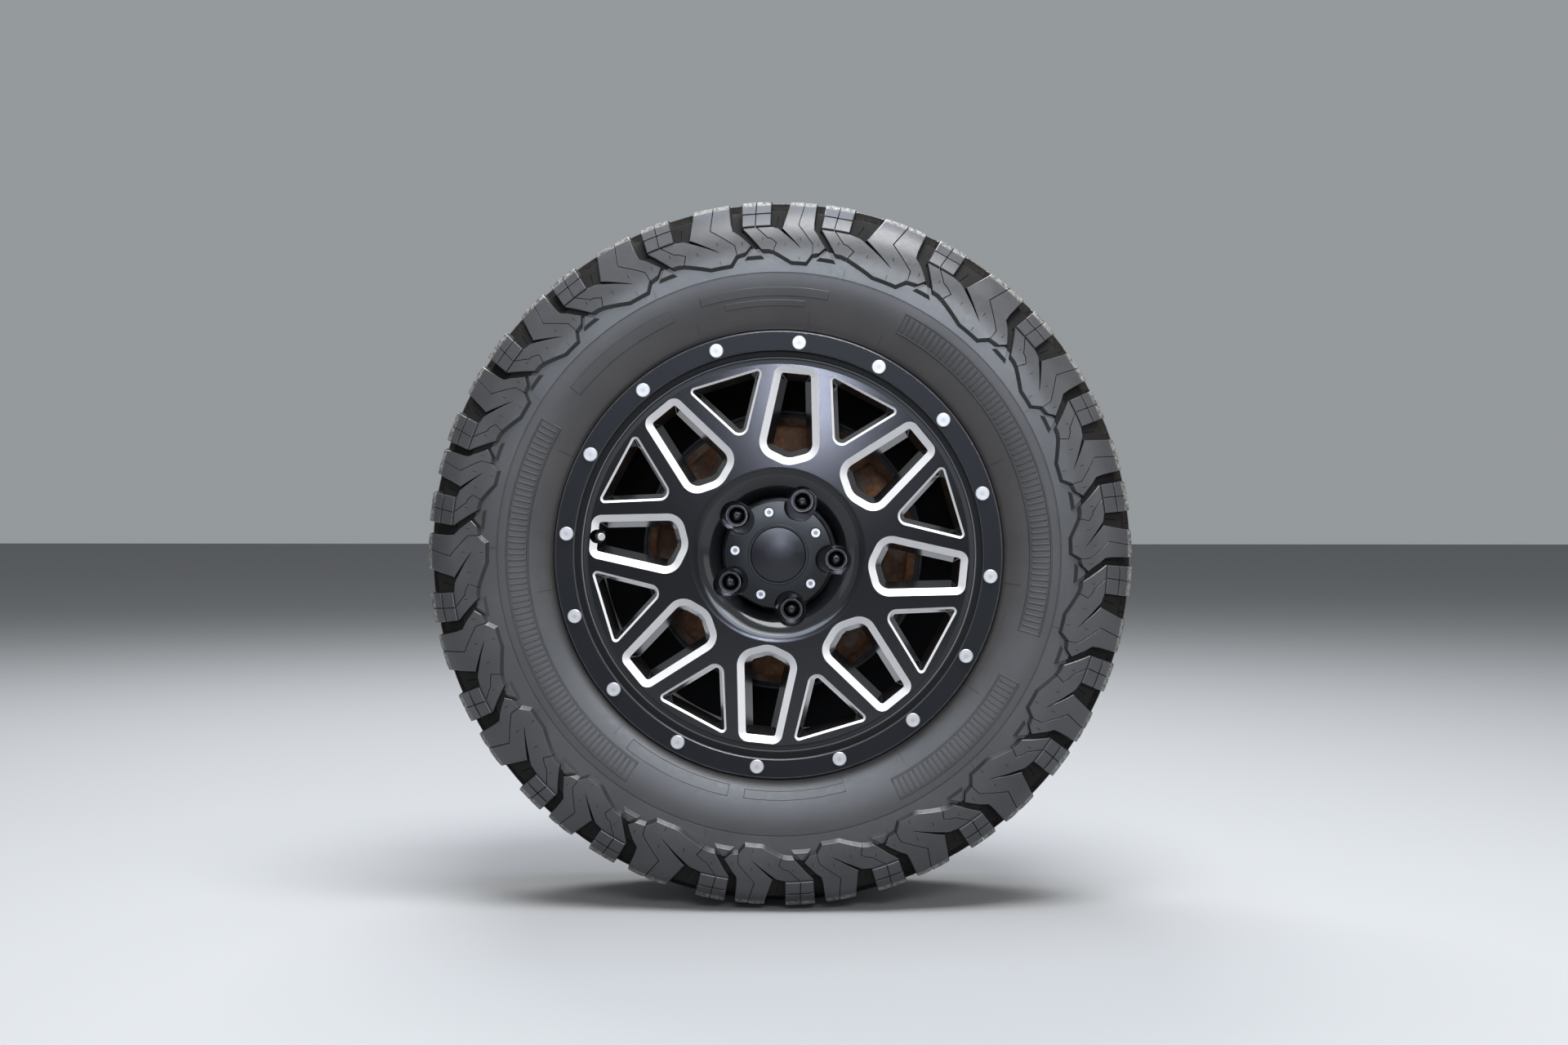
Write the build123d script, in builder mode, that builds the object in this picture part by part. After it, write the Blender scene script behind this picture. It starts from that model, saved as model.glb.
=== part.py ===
# An off-road wheel with its tyre, on its brake drum, hub and stub axle.
# Millimetres. +Z is up, the axle lies along Y, and the wheel's face looks to -Y.
# The origin is the centre of the stub axle flange's inboard face, where the wheel end bolts to an axle.
# "Out" is a distance from that face towards the wheel's face, so out = -Y.
import os
from math import cos, radians, sin, sqrt, tan

from build123d import *

# Wheel size: a 265/65 R18 tyre on a 9 inch wide rim
bead_seat_radius = 231.0
rim_half_width = 114.3
flange_height = 17.3
flange_thickness = 6.7
tyre_section_height = 170.0
tyre_bulge = 26.7
tread_inset = 6.3
crown_drop = 6.3
shoulder_chamfer = 8.0
crown_thickness = 23.0
sidewall_thickness = 11.0
bead_width = 16.0
widest_height = 88.0
clinch_gap = 0.7
clinch_width = 12.0
clinch_ledge_width = 19.5
clinch_ledge_height = 9.0
bead_height = 16.0
upper_wall_depth = 46.0
upper_wall_inset = 6.0
lower_wall_drop = 33.0
lower_wall_inset = 2.6
lining_shoulder_drop = 6.0
lining_shoulder_inset = 16.0
upper_lining_rise = 32.0
upper_lining_inset = 9.5
lower_lining_drop = 38.0
lower_lining_inset = 5.5
lining_crown_drop = 1.6

# Where the pieces lie along the axle
stub_flange_thickness = 12.0
plate_thickness = 3.0
moving_clearance = 5.0
drum_depth = 85.0
drum_face_thickness = 8.0
hub_flange_thickness = 12.0
wheel_offset = 18.0

# Wheel face
wheel_phase = -5.7
stud_count = 5
stud_circle = 130.0
stud_radius = 7.0
centre_bore_radius = 42.2
window_count = 8
face_depth = 8.0
face_inset = 18.0
groove_width = 6.0
groove_depth = 4.0
spoke_depth = 38.0
pad_thickness = 28.0
pad_margin = 13.0
pad_back_margin = 15.0
pad_foot_width = 12.0
pad_foot_height = 13.0
pad_knee_width = 20.0
pad_knee_height = 45.0
pad_back_reach = 48.0
dish_gap = 4.2
dish_rounding = 34.0
barrel_wall = 6.5
barrel_inset = 7.0
well_inset = 19.0
well_width = 42.0
seat_width = 20.0
well_lead = 12.0
well_back_lead = 15.0
seat_lead = 10.0
seat_back_lead = 12.0
flange_edge = 2.0
flange_back_edge = 3.0
flange_back_lead = 4.0

# Windows and triangles between the spokes, measured from the dish's edge and from the face's outer edge
window_tip_gap = 1.3
window_neck = 13.2
window_neck_half_width = 35.4
window_end_gap = 2.0
window_end_half_width = 23.4
window_neck_rounding = 20.0
window_end_rounding = 11.0
window_tip_rounding = 26.0
window_bevel = 8.0
window_bevel_depth = 6.0
window_draft = 7.0
triangle_tip_gap = 31.5
triangle_end_gap = 7.5
triangle_end_half_width = 45.0
triangle_end_rounding = 5.0
triangle_tip_rounding = 10.5
triangle_bevel = 2.5
triangle_bevel_depth = 2.0
triangle_draft = 5.0
smallest_rounding = 1.0

# Lip ring on the wheel's outer edge, and its screws
ring_overhang = 0.9
ring_inner_inset = 9.5
ring_face_inset = 3.3
ring_thickness = 12.0
ring_step = 7.0
ring_edge = 1.2
ring_screw_count = 16
ring_screw_height = 5.7
ring_screw_head_radius = 7.8
ring_screw_head_height = 3.5
ring_screw_radius = 4.0
ring_screw_reach = 5.0
ring_screw_edge = 0.8

# Centre cap
cap_margin = 5.2
cap_flute_inset = 6.5
cap_wall = 4.0
cap_edge = 0.8
cap_top_depth = 7.0
cap_lip_radius = 33.2
cap_lip_height = 0.9
cap_drop = 4.5
cap_disc_radius = 31.0
cap_disc_edge_height = 1.0
cap_disc_rounding = 1.0
cap_disc_height = 3.6
cap_disc_sunk = 2.4
cap_disc_flat = 1.0
cap_screw_inset = 16.6
cap_screw_radius = 3.0
cap_screw_head_radius = 4.9
cap_screw_head_height = 4.0
cap_screw_recess_radius = 6.3
cap_screw_recess_depth = 6.0
cap_screw_reach = 10.0
cap_screw_key_depth = 2.8
cap_post_radius = 8.5
hex_across = 5.0

# Wheel nuts, studs and valve
nut_radius = 12.8
nut_length = 40.0
nut_seat_depth = 20.0
nut_seat_small_radius = 8.6
nut_seat_angle = 60.0
nut_mouth_wall = 1.3
nut_mouth_depth = 8.0
nut_dome_gap = 2.2
nut_dome_foot = 1.5
nut_dome_height = 7.0
nut_dome_flat = 1.0
nut_cap_thickness = 4.0
nut_edge = 0.5
nut_pocket_gap = 4.2
nut_flute_gap = 3.7
stud_hole_radius = 8.0
stud_head_radius = 10.0
stud_head_thickness = 5.0
stud_length = 66.0
stud_edge = 1.2
valve_notch_radius = 7.8
valve_notch_inset = 27.2
valve_notch_depth = 27.0
valve_tilt = 22.5
valve_foot_inset = 15.0
valve_neck_radius = 5.6
valve_bulb_radius = 6.8
valve_bulb_length = 12.0
valve_bulb_edge = 3.0
valve_bulb_step = 1.0
valve_tip_radius = 4.6
valve_length = 34.0
valve_taper_start = 15.3
valve_cap_radius = 4.4
valve_cap_length = 11.0
valve_cap_edge = 1.0

# Brake drum
drum_outer_radius = 147.0
drum_wall = 11.0
drum_lip_height = 11.0
drum_lip_width = 22.0
drum_corner_radius = 14.0
drum_bell_inset = 31.0
drum_bell_step = 4.0
drum_lip_lead = 3.0
drum_bore_stop = 16.0
drum_bore_lead = 6.0
drum_back_step = 3.0
drum_web_lead = 4.0

# Hub
hub_barrel_margin = 0.8
hub_flange_margin = 15.0
hub_nose_length = 18.0
hub_nose_edge = 3.0
hub_flange_root = 6.0
inner_journal_wall = 13.0
inner_journal_length = 32.0
journal_step = 6.0

# Stub axle and backing plate
shaft_bore_radius = 17.5
axle_bolt_circle = 104.0
axle_bolt_count = 6
axle_bolt_hole_radius = 6.25
stub_flange_margin = 14.0
stub_shoulder_height = 6.0
spigot_radius = 40.0
spigot_length = 6.0
spigot_edge = 1.0
spindle_edge = 2.0
plate_gap = 9.0
plate_lip = 10.0
plate_rib_gap = 26.0
plate_rib_width = 20.0
plate_rib_height = 3.0
plate_rib_lead = 3.0

# Wheel cylinder, bleed screw, adjuster plug and shoe pins on the backing plate
cylinder_inset = 31.0
cylinder_radius = 15.0
cylinder_length = 62.0
cylinder_boss_radius = 14.0
cylinder_boss_length = 12.0
pipe_port_radius = 5.0
pipe_port_length = 14.0
bleed_spacing = 24.0
bleed_boss_radius = 7.0
bleed_boss_length = 8.0
bleed_radius = 3.5
bleed_thread_length = 10.0
bleed_hex_across = 9.0
bleed_hex_length = 6.0
bleed_tip_length = 8.0
bleed_tip_step = 0.5
bleed_bottom_gap = 1.0
plug_length = 26.0
plug_width = 11.0
plug_flange = 3.0
plug_thickness = 2.5
shoe_pin_radius = 3.0
shoe_pin_head_radius = 7.0
shoe_pin_head_thickness = 1.5
shoe_pin_inset = 8.0
shoe_pin_length = 24.0

# Fits
seat_gap = 0.3
running_gap = 0.06
slip_gap = 0.1

# Radii that follow from the bead seat
flange_radius = bead_seat_radius + flange_height
face_radius = bead_seat_radius - face_inset
well_radius = bead_seat_radius - well_inset
barrel_radius = bead_seat_radius - barrel_inset
ring_outer_radius = flange_radius + ring_overhang
ring_inner_radius = bead_seat_radius - ring_inner_inset
ring_face_radius = bead_seat_radius - ring_face_inset
ring_screw_centre = bead_seat_radius + ring_screw_height
valve_foot_radius = bead_seat_radius - valve_foot_inset
valve_notch_centre = bead_seat_radius - valve_notch_inset
tyre_radius = bead_seat_radius + tyre_section_height
tyre_half_width = rim_half_width + tyre_bulge
tread_half_width = rim_half_width - tread_inset

# Radii that follow from the stud circle, the nuts and the centre bore
stud_centre = stud_circle / 2
pad_radius = stud_centre + pad_margin
pad_back_radius = stud_centre + pad_back_margin
hub_flange_radius = stud_centre + hub_flange_margin
cap_radius = stud_centre - cap_margin
dish_wall_radius = cap_radius + dish_gap
dish_edge_radius = dish_wall_radius + dish_rounding
cap_flute_centre = stud_centre - cap_flute_inset
cap_flute_radius = nut_radius + nut_flute_gap
cap_screw_centre = stud_centre - cap_screw_inset
nut_mouth_radius = nut_radius - nut_mouth_wall
nut_dome_radius = nut_mouth_radius - nut_dome_gap
nut_pocket_radius = nut_radius + nut_pocket_gap
hub_barrel_radius = centre_bore_radius + hub_barrel_margin
inner_journal_radius = hub_barrel_radius - inner_journal_wall
outer_journal_radius = inner_journal_radius - journal_step
stub_shoulder_radius = inner_journal_radius + stub_shoulder_height

# Radii that follow from the drum and from the axle's bolt circle
drum_bore_radius = drum_outer_radius - drum_wall
drum_lip_radius = drum_outer_radius + drum_lip_height
drum_bell_radius = drum_outer_radius - drum_bell_inset
plate_radius = drum_lip_radius + plate_gap
cylinder_height = drum_bore_radius - cylinder_inset
shoe_pin_centre = drum_bore_radius - shoe_pin_inset
stub_flange_radius = axle_bolt_circle / 2 + stub_flange_margin
plate_rib_inner = stub_flange_radius + plate_rib_gap
plate_rib_outer = plate_rib_inner + plate_rib_width

# Distances out, worked out from the stack along the axle
plate_out = stub_flange_thickness + plate_thickness
drum_back_out = plate_out + moving_clearance
pad_out = drum_back_out + drum_depth
drum_face_back_out = pad_out - drum_face_thickness
hub_flange_back_out = drum_face_back_out - hub_flange_thickness
rim_centre_out = pad_out - wheel_offset
outer_flange_out = rim_centre_out + rim_half_width
inner_flange_out = rim_centre_out - rim_half_width
ring_back_out = outer_flange_out + flange_thickness
lip_out = ring_back_out + ring_thickness
face_out = lip_out - face_depth
spoke_back_out = face_out - spoke_depth
dish_floor_out = pad_out + pad_thickness
nut_seat_out = pad_out + nut_seat_depth
cap_top_out = lip_out - cap_top_depth

# Local x is the radius and local y the distance out, for every turned piece.
section = Plane(origin=(0, 0, 0), x_dir=(1, 0, 0), z_dir=(0, 0, -1))


def facing(out, turn=wheel_phase):
    """A plane across the axle at that distance out, seen from the wheel's face, turned from level."""
    x_dir = (cos(radians(turn)), 0, sin(radians(turn)))
    return Plane(origin=(0, -out, 0), x_dir=x_dir, z_dir=(0, -1, 0))


def save(piece, name):
    """Labels a finished piece and writes it to its own file, which names its node."""
    piece.part.label = name
    export_step(piece.part, f"parts/{name}.step")


os.makedirs("parts", exist_ok=True)


# Tyre: a hollow casing, its outline at the tops of the tread blocks
bead_radius = bead_seat_radius + seat_gap
bead_half_width = rim_half_width - seat_gap
clinch_radius = ring_outer_radius + clinch_gap
widest_radius = bead_seat_radius + widest_height
shoulder_radius = tyre_radius - crown_drop
cavity_radius = tyre_radius - crown_thickness
lining_half_width = tyre_half_width - sidewall_thickness
half_outer = [
    (tyre_radius, 0),
    (shoulder_radius, tread_half_width),
    (shoulder_radius - shoulder_chamfer, tread_half_width + shoulder_chamfer),
    (widest_radius, tyre_half_width),
    (clinch_radius + clinch_ledge_height, bead_half_width + clinch_ledge_width),
    (clinch_radius, bead_half_width + clinch_width),
    (clinch_radius, bead_half_width),
    (bead_radius, bead_half_width),
    (bead_radius, bead_half_width - bead_width),
    (bead_radius + bead_height, bead_half_width - bead_width),
]
half_inner = [
    (widest_radius, lining_half_width),
    (cavity_radius - lining_shoulder_drop, tread_half_width - lining_shoulder_inset),
    (cavity_radius, 0),
]
crown_middle = (tyre_radius - crown_drop / 4, tread_half_width / 2)
upper_wall = (tyre_radius - upper_wall_depth, tyre_half_width - upper_wall_inset)
lower_wall = (widest_radius - lower_wall_drop, tyre_half_width - lower_wall_inset)
lower_lining = (widest_radius - lower_lining_drop, lining_half_width - lower_lining_inset)
upper_lining = (widest_radius + upper_lining_rise, lining_half_width - upper_lining_inset)
cavity_middle = (cavity_radius - lining_crown_drop, tread_half_width * 0.45)
with BuildPart() as tyre:
    with BuildSketch(section) as tyre_section:
        with Locations((0, rim_centre_out)):
            with BuildSketch(mode=Mode.PRIVATE) as tyre_half:
                with BuildLine():
                    ThreePointArc(half_outer[0], crown_middle, half_outer[1])
                    Line(half_outer[1], half_outer[2])
                    ThreePointArc(half_outer[2], upper_wall, half_outer[3])
                    ThreePointArc(half_outer[3], lower_wall, half_outer[4])
                    Polyline(*half_outer[4:])
                    ThreePointArc(half_outer[9], lower_lining, half_inner[0])
                    ThreePointArc(half_inner[0], upper_lining, half_inner[1])
                    ThreePointArc(half_inner[1], cavity_middle, half_inner[2])
                    Line(half_inner[2], half_outer[0])
                make_face()
                mirror(about=Plane.XZ)
            add(tyre_half.sketch)
    revolve(axis=Axis.Y)
save(tyre, "tyre")


# Rim: one casting, turned first, then cut by its windows, bore, stud holes and screw holes
window_tip = dish_edge_radius + window_tip_gap
window_corners = [
    (window_tip, 0.0),
    (window_tip + window_neck, window_neck_half_width),
    (face_radius - window_end_gap, window_end_half_width),
]
window_roundings = [(1, window_neck_rounding), (-1, window_end_rounding), (0, window_tip_rounding)]
triangle_corners = [
    (dish_edge_radius + triangle_tip_gap, 0.0),
    (face_radius - triangle_end_gap, triangle_end_half_width),
]
triangle_roundings = [(-1, triangle_end_rounding), (0, triangle_tip_rounding)]


def opening_outline(corners, roundings, out, inset):
    """A closed outline about the radius. corners are (radius, half width) from the tip outwards."""
    below = [(radius, -across) for radius, across in reversed(corners) if across > 0]
    with BuildSketch(Plane.XY.offset(out)) as shape:
        with BuildLine():
            Polyline(*corners, *below, close=True)
        make_face()
        if inset:
            offset(amount=-inset, kind=Kind.INTERSECTION)
        for row, rounding in roundings:
            fillet(shape.vertices().group_by(Axis.X)[row], max(rounding - inset, smallest_rounding))
    return shape.sketch


def opening_cutter(corners, roundings, bevel, bevel_depth, draft):
    """The solid cut out of the casting for one opening: a bevel, tapered walls, then a straight run."""
    bevel_out = face_out - bevel_depth
    with BuildPart() as cutter:
        loft([
            opening_outline(corners, roundings, face_out, 0.0),
            opening_outline(corners, roundings, bevel_out, bevel),
        ], ruled=True)
        loft([
            opening_outline(corners, roundings, bevel_out, bevel),
            opening_outline(corners, roundings, spoke_back_out, bevel + draft),
        ], ruled=True)
        add(opening_outline(corners, roundings, spoke_back_out, bevel + draft))
        extrude(amount=-spoke_depth)
    return cutter.part


window_cutter = opening_cutter(
    window_corners, window_roundings, window_bevel, window_bevel_depth, window_draft
)
triangle_cutter = opening_cutter(
    triangle_corners, triangle_roundings, triangle_bevel, triangle_bevel_depth, triangle_draft
)
barrel_in = barrel_radius - barrel_wall
well_in = well_radius - barrel_wall
inboard_edge_out = inner_flange_out - flange_thickness
well_top_out = outer_flange_out - seat_width * 2
well_bottom_out = well_top_out - well_width
seat_inner_out = inner_flange_out + seat_width
# The valve leans in towards the hub, from its seat on the slope beside the outer bead
well_slope = seat_width / (bead_seat_radius - well_radius)
valve_foot_out = well_top_out + (valve_foot_radius - well_radius) * well_slope
valve_turn = radians(wheel_phase + 180)
valve_plane = Plane(
    origin=(
        valve_foot_radius * cos(valve_turn),
        -valve_foot_out,
        valve_foot_radius * sin(valve_turn),
    ),
    z_dir=(
        -sin(radians(valve_tilt)) * cos(valve_turn),
        -cos(radians(valve_tilt)),
        -sin(radians(valve_tilt)) * sin(valve_turn),
    ),
)

# How far the middle of a quarter circle's arc lies from its two ends, measured along each axis
quarter_arc_rise = 1 - sqrt(0.5)
dish_arc_rise = dish_rounding * quarter_arc_rise

# Each nut's conical seat in the rim
seat_depth = (nut_radius - nut_seat_small_radius) / tan(radians(nut_seat_angle / 2))
with BuildPart() as seat_cone:
    with BuildSketch(Plane.XY):
        Circle(nut_radius + slip_gap)
    with BuildSketch(Plane.XY.offset(-seat_depth)):
        Circle(nut_seat_small_radius + slip_gap)
    loft()
seat_cutter = seat_cone.part

with BuildPart() as rim:
    with BuildSketch(section) as rim_section:
        with BuildLine():
            inboard_side = Polyline(
                (centre_bore_radius, dish_floor_out),
                (centre_bore_radius, pad_out),
                (pad_radius, pad_out),
                (pad_back_radius + pad_foot_width, pad_out + pad_foot_height),
                (pad_back_radius + pad_knee_width, pad_out + pad_knee_height),
                (pad_back_radius + pad_back_reach, spoke_back_out),
                (well_in, spoke_back_out),
                (well_in, well_bottom_out),
                (barrel_in, well_bottom_out - well_back_lead),
                (barrel_in, seat_inner_out + seat_back_lead),
                (bead_seat_radius - barrel_wall, seat_inner_out),
                (bead_seat_radius - barrel_wall, inboard_edge_out + flange_back_lead),
                (bead_seat_radius - flange_back_edge, inboard_edge_out),
                (flange_radius - flange_edge, inboard_edge_out),
                (flange_radius, inboard_edge_out + flange_edge),
                (flange_radius, inner_flange_out),
                (bead_seat_radius, inner_flange_out),
                (bead_seat_radius, seat_inner_out),
                (barrel_radius, seat_inner_out + seat_lead),
                (barrel_radius, well_bottom_out - well_lead),
                (well_radius, well_bottom_out),
                (well_radius, well_top_out),
                (bead_seat_radius, outer_flange_out - seat_width),
                (bead_seat_radius, outer_flange_out),
                (flange_radius, outer_flange_out),
                (flange_radius, ring_back_out),
                (face_radius + groove_width, ring_back_out),
                (face_radius + groove_width, ring_back_out - groove_depth),
                (face_radius, ring_back_out - groove_depth),
                (face_radius, face_out),
                (dish_edge_radius, face_out),
            )
            dish_flank = ThreePointArc(
                inboard_side @ 1,
                (dish_wall_radius + dish_arc_rise, face_out - dish_arc_rise),
                (dish_wall_radius, face_out - dish_rounding),
            )
            Polyline(dish_flank @ 1, (dish_wall_radius, dish_floor_out), inboard_side @ 0)
        make_face()
    revolve(axis=Axis.Y)
    with Locations(facing(0)):
        with PolarLocations(0, window_count):
            add(window_cutter, mode=Mode.SUBTRACT)
        with PolarLocations(0, window_count, start_angle=180 / window_count):
            add(triangle_cutter, mode=Mode.SUBTRACT)
    with BuildSketch(facing(nut_seat_out)):
        with PolarLocations(stud_centre, stud_count):
            Circle(nut_pocket_radius)
    extrude(amount=face_out - nut_seat_out, mode=Mode.SUBTRACT)
    with BuildSketch(facing(pad_out)):
        with PolarLocations(stud_centre, stud_count):
            Circle(stud_hole_radius)
    extrude(amount=pad_thickness, mode=Mode.SUBTRACT)
    with Locations(facing(nut_seat_out)):
        with PolarLocations(stud_centre, stud_count):
            add(seat_cutter, mode=Mode.SUBTRACT)
    with BuildSketch(facing(dish_floor_out)):
        with PolarLocations(cap_screw_centre, stud_count, start_angle=180 / stud_count):
            Circle(cap_screw_radius + slip_gap)
    extrude(amount=-cap_screw_reach, mode=Mode.SUBTRACT)
    with BuildSketch(facing(ring_back_out)):
        with PolarLocations(ring_screw_centre, ring_screw_count):
            Circle(ring_screw_radius + slip_gap)
    extrude(amount=-ring_screw_reach, mode=Mode.SUBTRACT)
    with BuildSketch(facing(face_out)):
        with PolarLocations(valve_notch_centre, 1, start_angle=180):
            Circle(valve_notch_radius)
    extrude(amount=-valve_notch_depth, mode=Mode.SUBTRACT)
    with BuildSketch(valve_plane):
        Circle(valve_neck_radius + slip_gap)
    extrude(amount=valve_length, both=True, mode=Mode.SUBTRACT)
    with BuildSketch(valve_plane.offset(valve_length / 3)):
        Circle(valve_notch_radius)
    extrude(amount=valve_length / 2, mode=Mode.SUBTRACT)
save(rim, "rim")


# Lip ring, screwed to the rim's outer flange, with its inner edge stepped down
with BuildPart() as lip_ring:
    with BuildSketch(section):
        with BuildLine():
            Polyline(
                (ring_inner_radius, ring_back_out),
                (ring_outer_radius, ring_back_out),
                (ring_outer_radius, lip_out - ring_edge),
                (ring_outer_radius - ring_edge, lip_out),
                (ring_face_radius + ring_edge, lip_out),
                (ring_face_radius, lip_out - ring_edge),
                (ring_face_radius, lip_out - ring_step),
                (ring_inner_radius, lip_out - ring_step),
                close=True,
            )
        make_face()
    revolve(axis=Axis.Y)
    with BuildSketch(facing(ring_back_out)):
        with PolarLocations(ring_screw_centre, ring_screw_count):
            Circle(ring_screw_radius + slip_gap)
    extrude(amount=ring_thickness, mode=Mode.SUBTRACT)
save(lip_ring, "lip_ring")

with BuildPart() as ring_screws:
    with BuildSketch(facing(lip_out)):
        with PolarLocations(ring_screw_centre, ring_screw_count):
            Circle(ring_screw_head_radius)
    extrude(amount=ring_screw_head_height)
    chamfer(ring_screws.faces().sort_by(Axis.Y)[:ring_screw_count].edges(), ring_screw_edge)
    with BuildSketch(facing(lip_out)):
        with PolarLocations(ring_screw_centre, ring_screw_count):
            Circle(ring_screw_radius)
    extrude(amount=-ring_thickness - ring_screw_reach)
save(ring_screws, "ring_screws")


# Centre cap: a fluted cup on five posts, its screws, and the plain disc set in its middle
cap_cut_radius = cap_radius + cap_wall
cap_slope_drop = cap_drop - cap_lip_height
cap_slope_middle = (cap_lip_radius + cap_cut_radius) / 2
with BuildPart() as centre_cap:
    with BuildSketch(facing(dish_floor_out)):
        Circle(cap_radius)
        with PolarLocations(cap_flute_centre, stud_count):
            Circle(cap_flute_radius, mode=Mode.SUBTRACT)
    extrude(amount=cap_top_out - dish_floor_out)
    with BuildSketch(section):
        with BuildLine():
            cap_slope = ThreePointArc(
                (cap_lip_radius, cap_top_out - cap_lip_height),
                (cap_slope_middle, cap_top_out - cap_lip_height - cap_slope_drop / 4),
                (cap_cut_radius, cap_top_out - cap_drop),
            )
            Polyline(
                cap_slope @ 1,
                (cap_cut_radius, cap_top_out + cap_lip_height),
                (cap_lip_radius, cap_top_out + cap_lip_height),
                cap_slope @ 0,
            )
        make_face()
    revolve(axis=Axis.Y, mode=Mode.SUBTRACT)
    cap_slope_face = centre_cap.faces().filter_by(GeomType.REVOLUTION)[0]
    fillet(cap_slope_face.outer_wire().edges(), cap_edge)
    with BuildSketch(facing(dish_floor_out)):
        Circle(cap_radius - cap_wall)
        with PolarLocations(cap_flute_centre, stud_count):
            Circle(cap_flute_radius + cap_wall, mode=Mode.SUBTRACT)
    extrude(amount=cap_top_out - dish_floor_out - cap_wall * 2, mode=Mode.SUBTRACT)
    with BuildSketch(facing(dish_floor_out)):
        with PolarLocations(cap_screw_centre, stud_count, start_angle=180 / stud_count):
            Circle(cap_post_radius)
    extrude(amount=cap_top_out - dish_floor_out - cap_wall)
    with BuildSketch(facing(cap_top_out)):
        with PolarLocations(cap_screw_centre, stud_count, start_angle=180 / stud_count):
            Circle(cap_screw_recess_radius)
        Circle(cap_disc_radius + slip_gap)
    extrude(amount=-cap_disc_sunk, mode=Mode.SUBTRACT)
    with BuildSketch(facing(cap_top_out)):
        with PolarLocations(cap_screw_centre, stud_count, start_angle=180 / stud_count):
            Circle(cap_screw_recess_radius)
    extrude(amount=-cap_screw_recess_depth, mode=Mode.SUBTRACT)
    with BuildSketch(facing(cap_top_out)):
        with PolarLocations(cap_screw_centre, stud_count, start_angle=180 / stud_count):
            Circle(cap_screw_radius + slip_gap)
    extrude(amount=dish_floor_out - cap_top_out, mode=Mode.SUBTRACT)
save(centre_cap, "centre_cap")

disc_back_out = cap_top_out - cap_disc_sunk
disc_middle_radius = (cap_disc_radius + cap_disc_flat) / 2
disc_crown = cap_disc_height - cap_disc_rounding - cap_disc_edge_height
with BuildPart() as cap_disc:
    with BuildSketch(section):
        with BuildLine():
            disc_edge = Polyline(
                (0, disc_back_out),
                (cap_disc_radius, disc_back_out),
                (cap_disc_radius, disc_back_out + cap_disc_edge_height),
                (
                    cap_disc_radius - cap_disc_rounding,
                    disc_back_out + cap_disc_edge_height + cap_disc_rounding,
                ),
            )
            disc_face = ThreePointArc(
                disc_edge @ 1,
                (disc_middle_radius, disc_back_out + cap_disc_height - disc_crown / 4),
                (cap_disc_flat, disc_back_out + cap_disc_height),
            )
            Polyline(disc_face @ 1, (0, disc_back_out + cap_disc_height), disc_edge @ 0)
        make_face()
    revolve(axis=Axis.Y)
save(cap_disc, "cap_disc")

cap_screw_head_out = cap_top_out - cap_screw_recess_depth
with BuildPart() as cap_screws:
    with BuildSketch(facing(cap_screw_head_out)):
        with PolarLocations(cap_screw_centre, stud_count, start_angle=180 / stud_count):
            Circle(cap_screw_head_radius)
    extrude(amount=cap_screw_head_height)
    with BuildSketch(facing(cap_screw_head_out)):
        with PolarLocations(cap_screw_centre, stud_count, start_angle=180 / stud_count):
            Circle(cap_screw_radius)
    extrude(amount=dish_floor_out - cap_screw_reach - cap_screw_head_out)
    with BuildSketch(facing(cap_screw_head_out + cap_screw_head_height)):
        with PolarLocations(cap_screw_centre, stud_count, start_angle=180 / stud_count):
            RegularPolygon(hex_across / 2, 6, major_radius=False)
    extrude(amount=-cap_screw_key_depth, mode=Mode.SUBTRACT)
save(cap_screws, "cap_screws")


# Wheel nuts: closed at the end, with a deep round mouth around a domed key
nut_floor = nut_length - nut_mouth_depth
nut_dome_top = nut_floor + nut_dome_height
nut_dome_across = nut_dome_radius - nut_dome_flat
nut_dome_rise = nut_dome_height - nut_dome_foot
with BuildPart() as one_nut:
    with BuildSketch(Plane.XZ):
        with BuildLine():
            nut_wall = Polyline(
                (0, nut_floor - nut_cap_thickness),
                (stud_radius + slip_gap, nut_floor - nut_cap_thickness),
                (stud_radius + slip_gap, -seat_depth),
                (nut_seat_small_radius, -seat_depth),
                (nut_radius, 0),
                (nut_radius, nut_length - nut_edge),
                (nut_radius - nut_edge, nut_length),
                (nut_mouth_radius, nut_length),
                (nut_mouth_radius, nut_floor),
                (nut_dome_radius, nut_floor),
                (nut_dome_radius, nut_floor + nut_dome_foot),
            )
            nut_dome = ThreePointArc(
                nut_wall @ 1,
                (
                    nut_dome_radius - nut_dome_across * quarter_arc_rise,
                    nut_dome_top - nut_dome_rise * quarter_arc_rise,
                ),
                (nut_dome_flat, nut_dome_top),
            )
            Polyline(nut_dome @ 1, (0, nut_dome_top), nut_wall @ 0)
        make_face()
    revolve(axis=Axis.Z)

with BuildPart() as lug_nuts:
    with Locations(facing(nut_seat_out)):
        with PolarLocations(stud_centre, stud_count):
            add(one_nut.part)
save(lug_nuts, "lug_nuts")


# Wheel studs: pressed in from behind the hub flange, their heads against its back
with BuildPart() as wheel_studs:
    with BuildSketch(facing(hub_flange_back_out)):
        with PolarLocations(stud_centre, stud_count):
            Circle(stud_radius)
    extrude(amount=stud_length)
    chamfer(wheel_studs.faces().sort_by(Axis.Y)[:stud_count].edges(), stud_edge)
    with BuildSketch(facing(hub_flange_back_out)):
        with PolarLocations(stud_centre, stud_count):
            Circle(stud_head_radius)
    extrude(amount=-stud_head_thickness)
save(wheel_studs, "wheel_studs")


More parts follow.
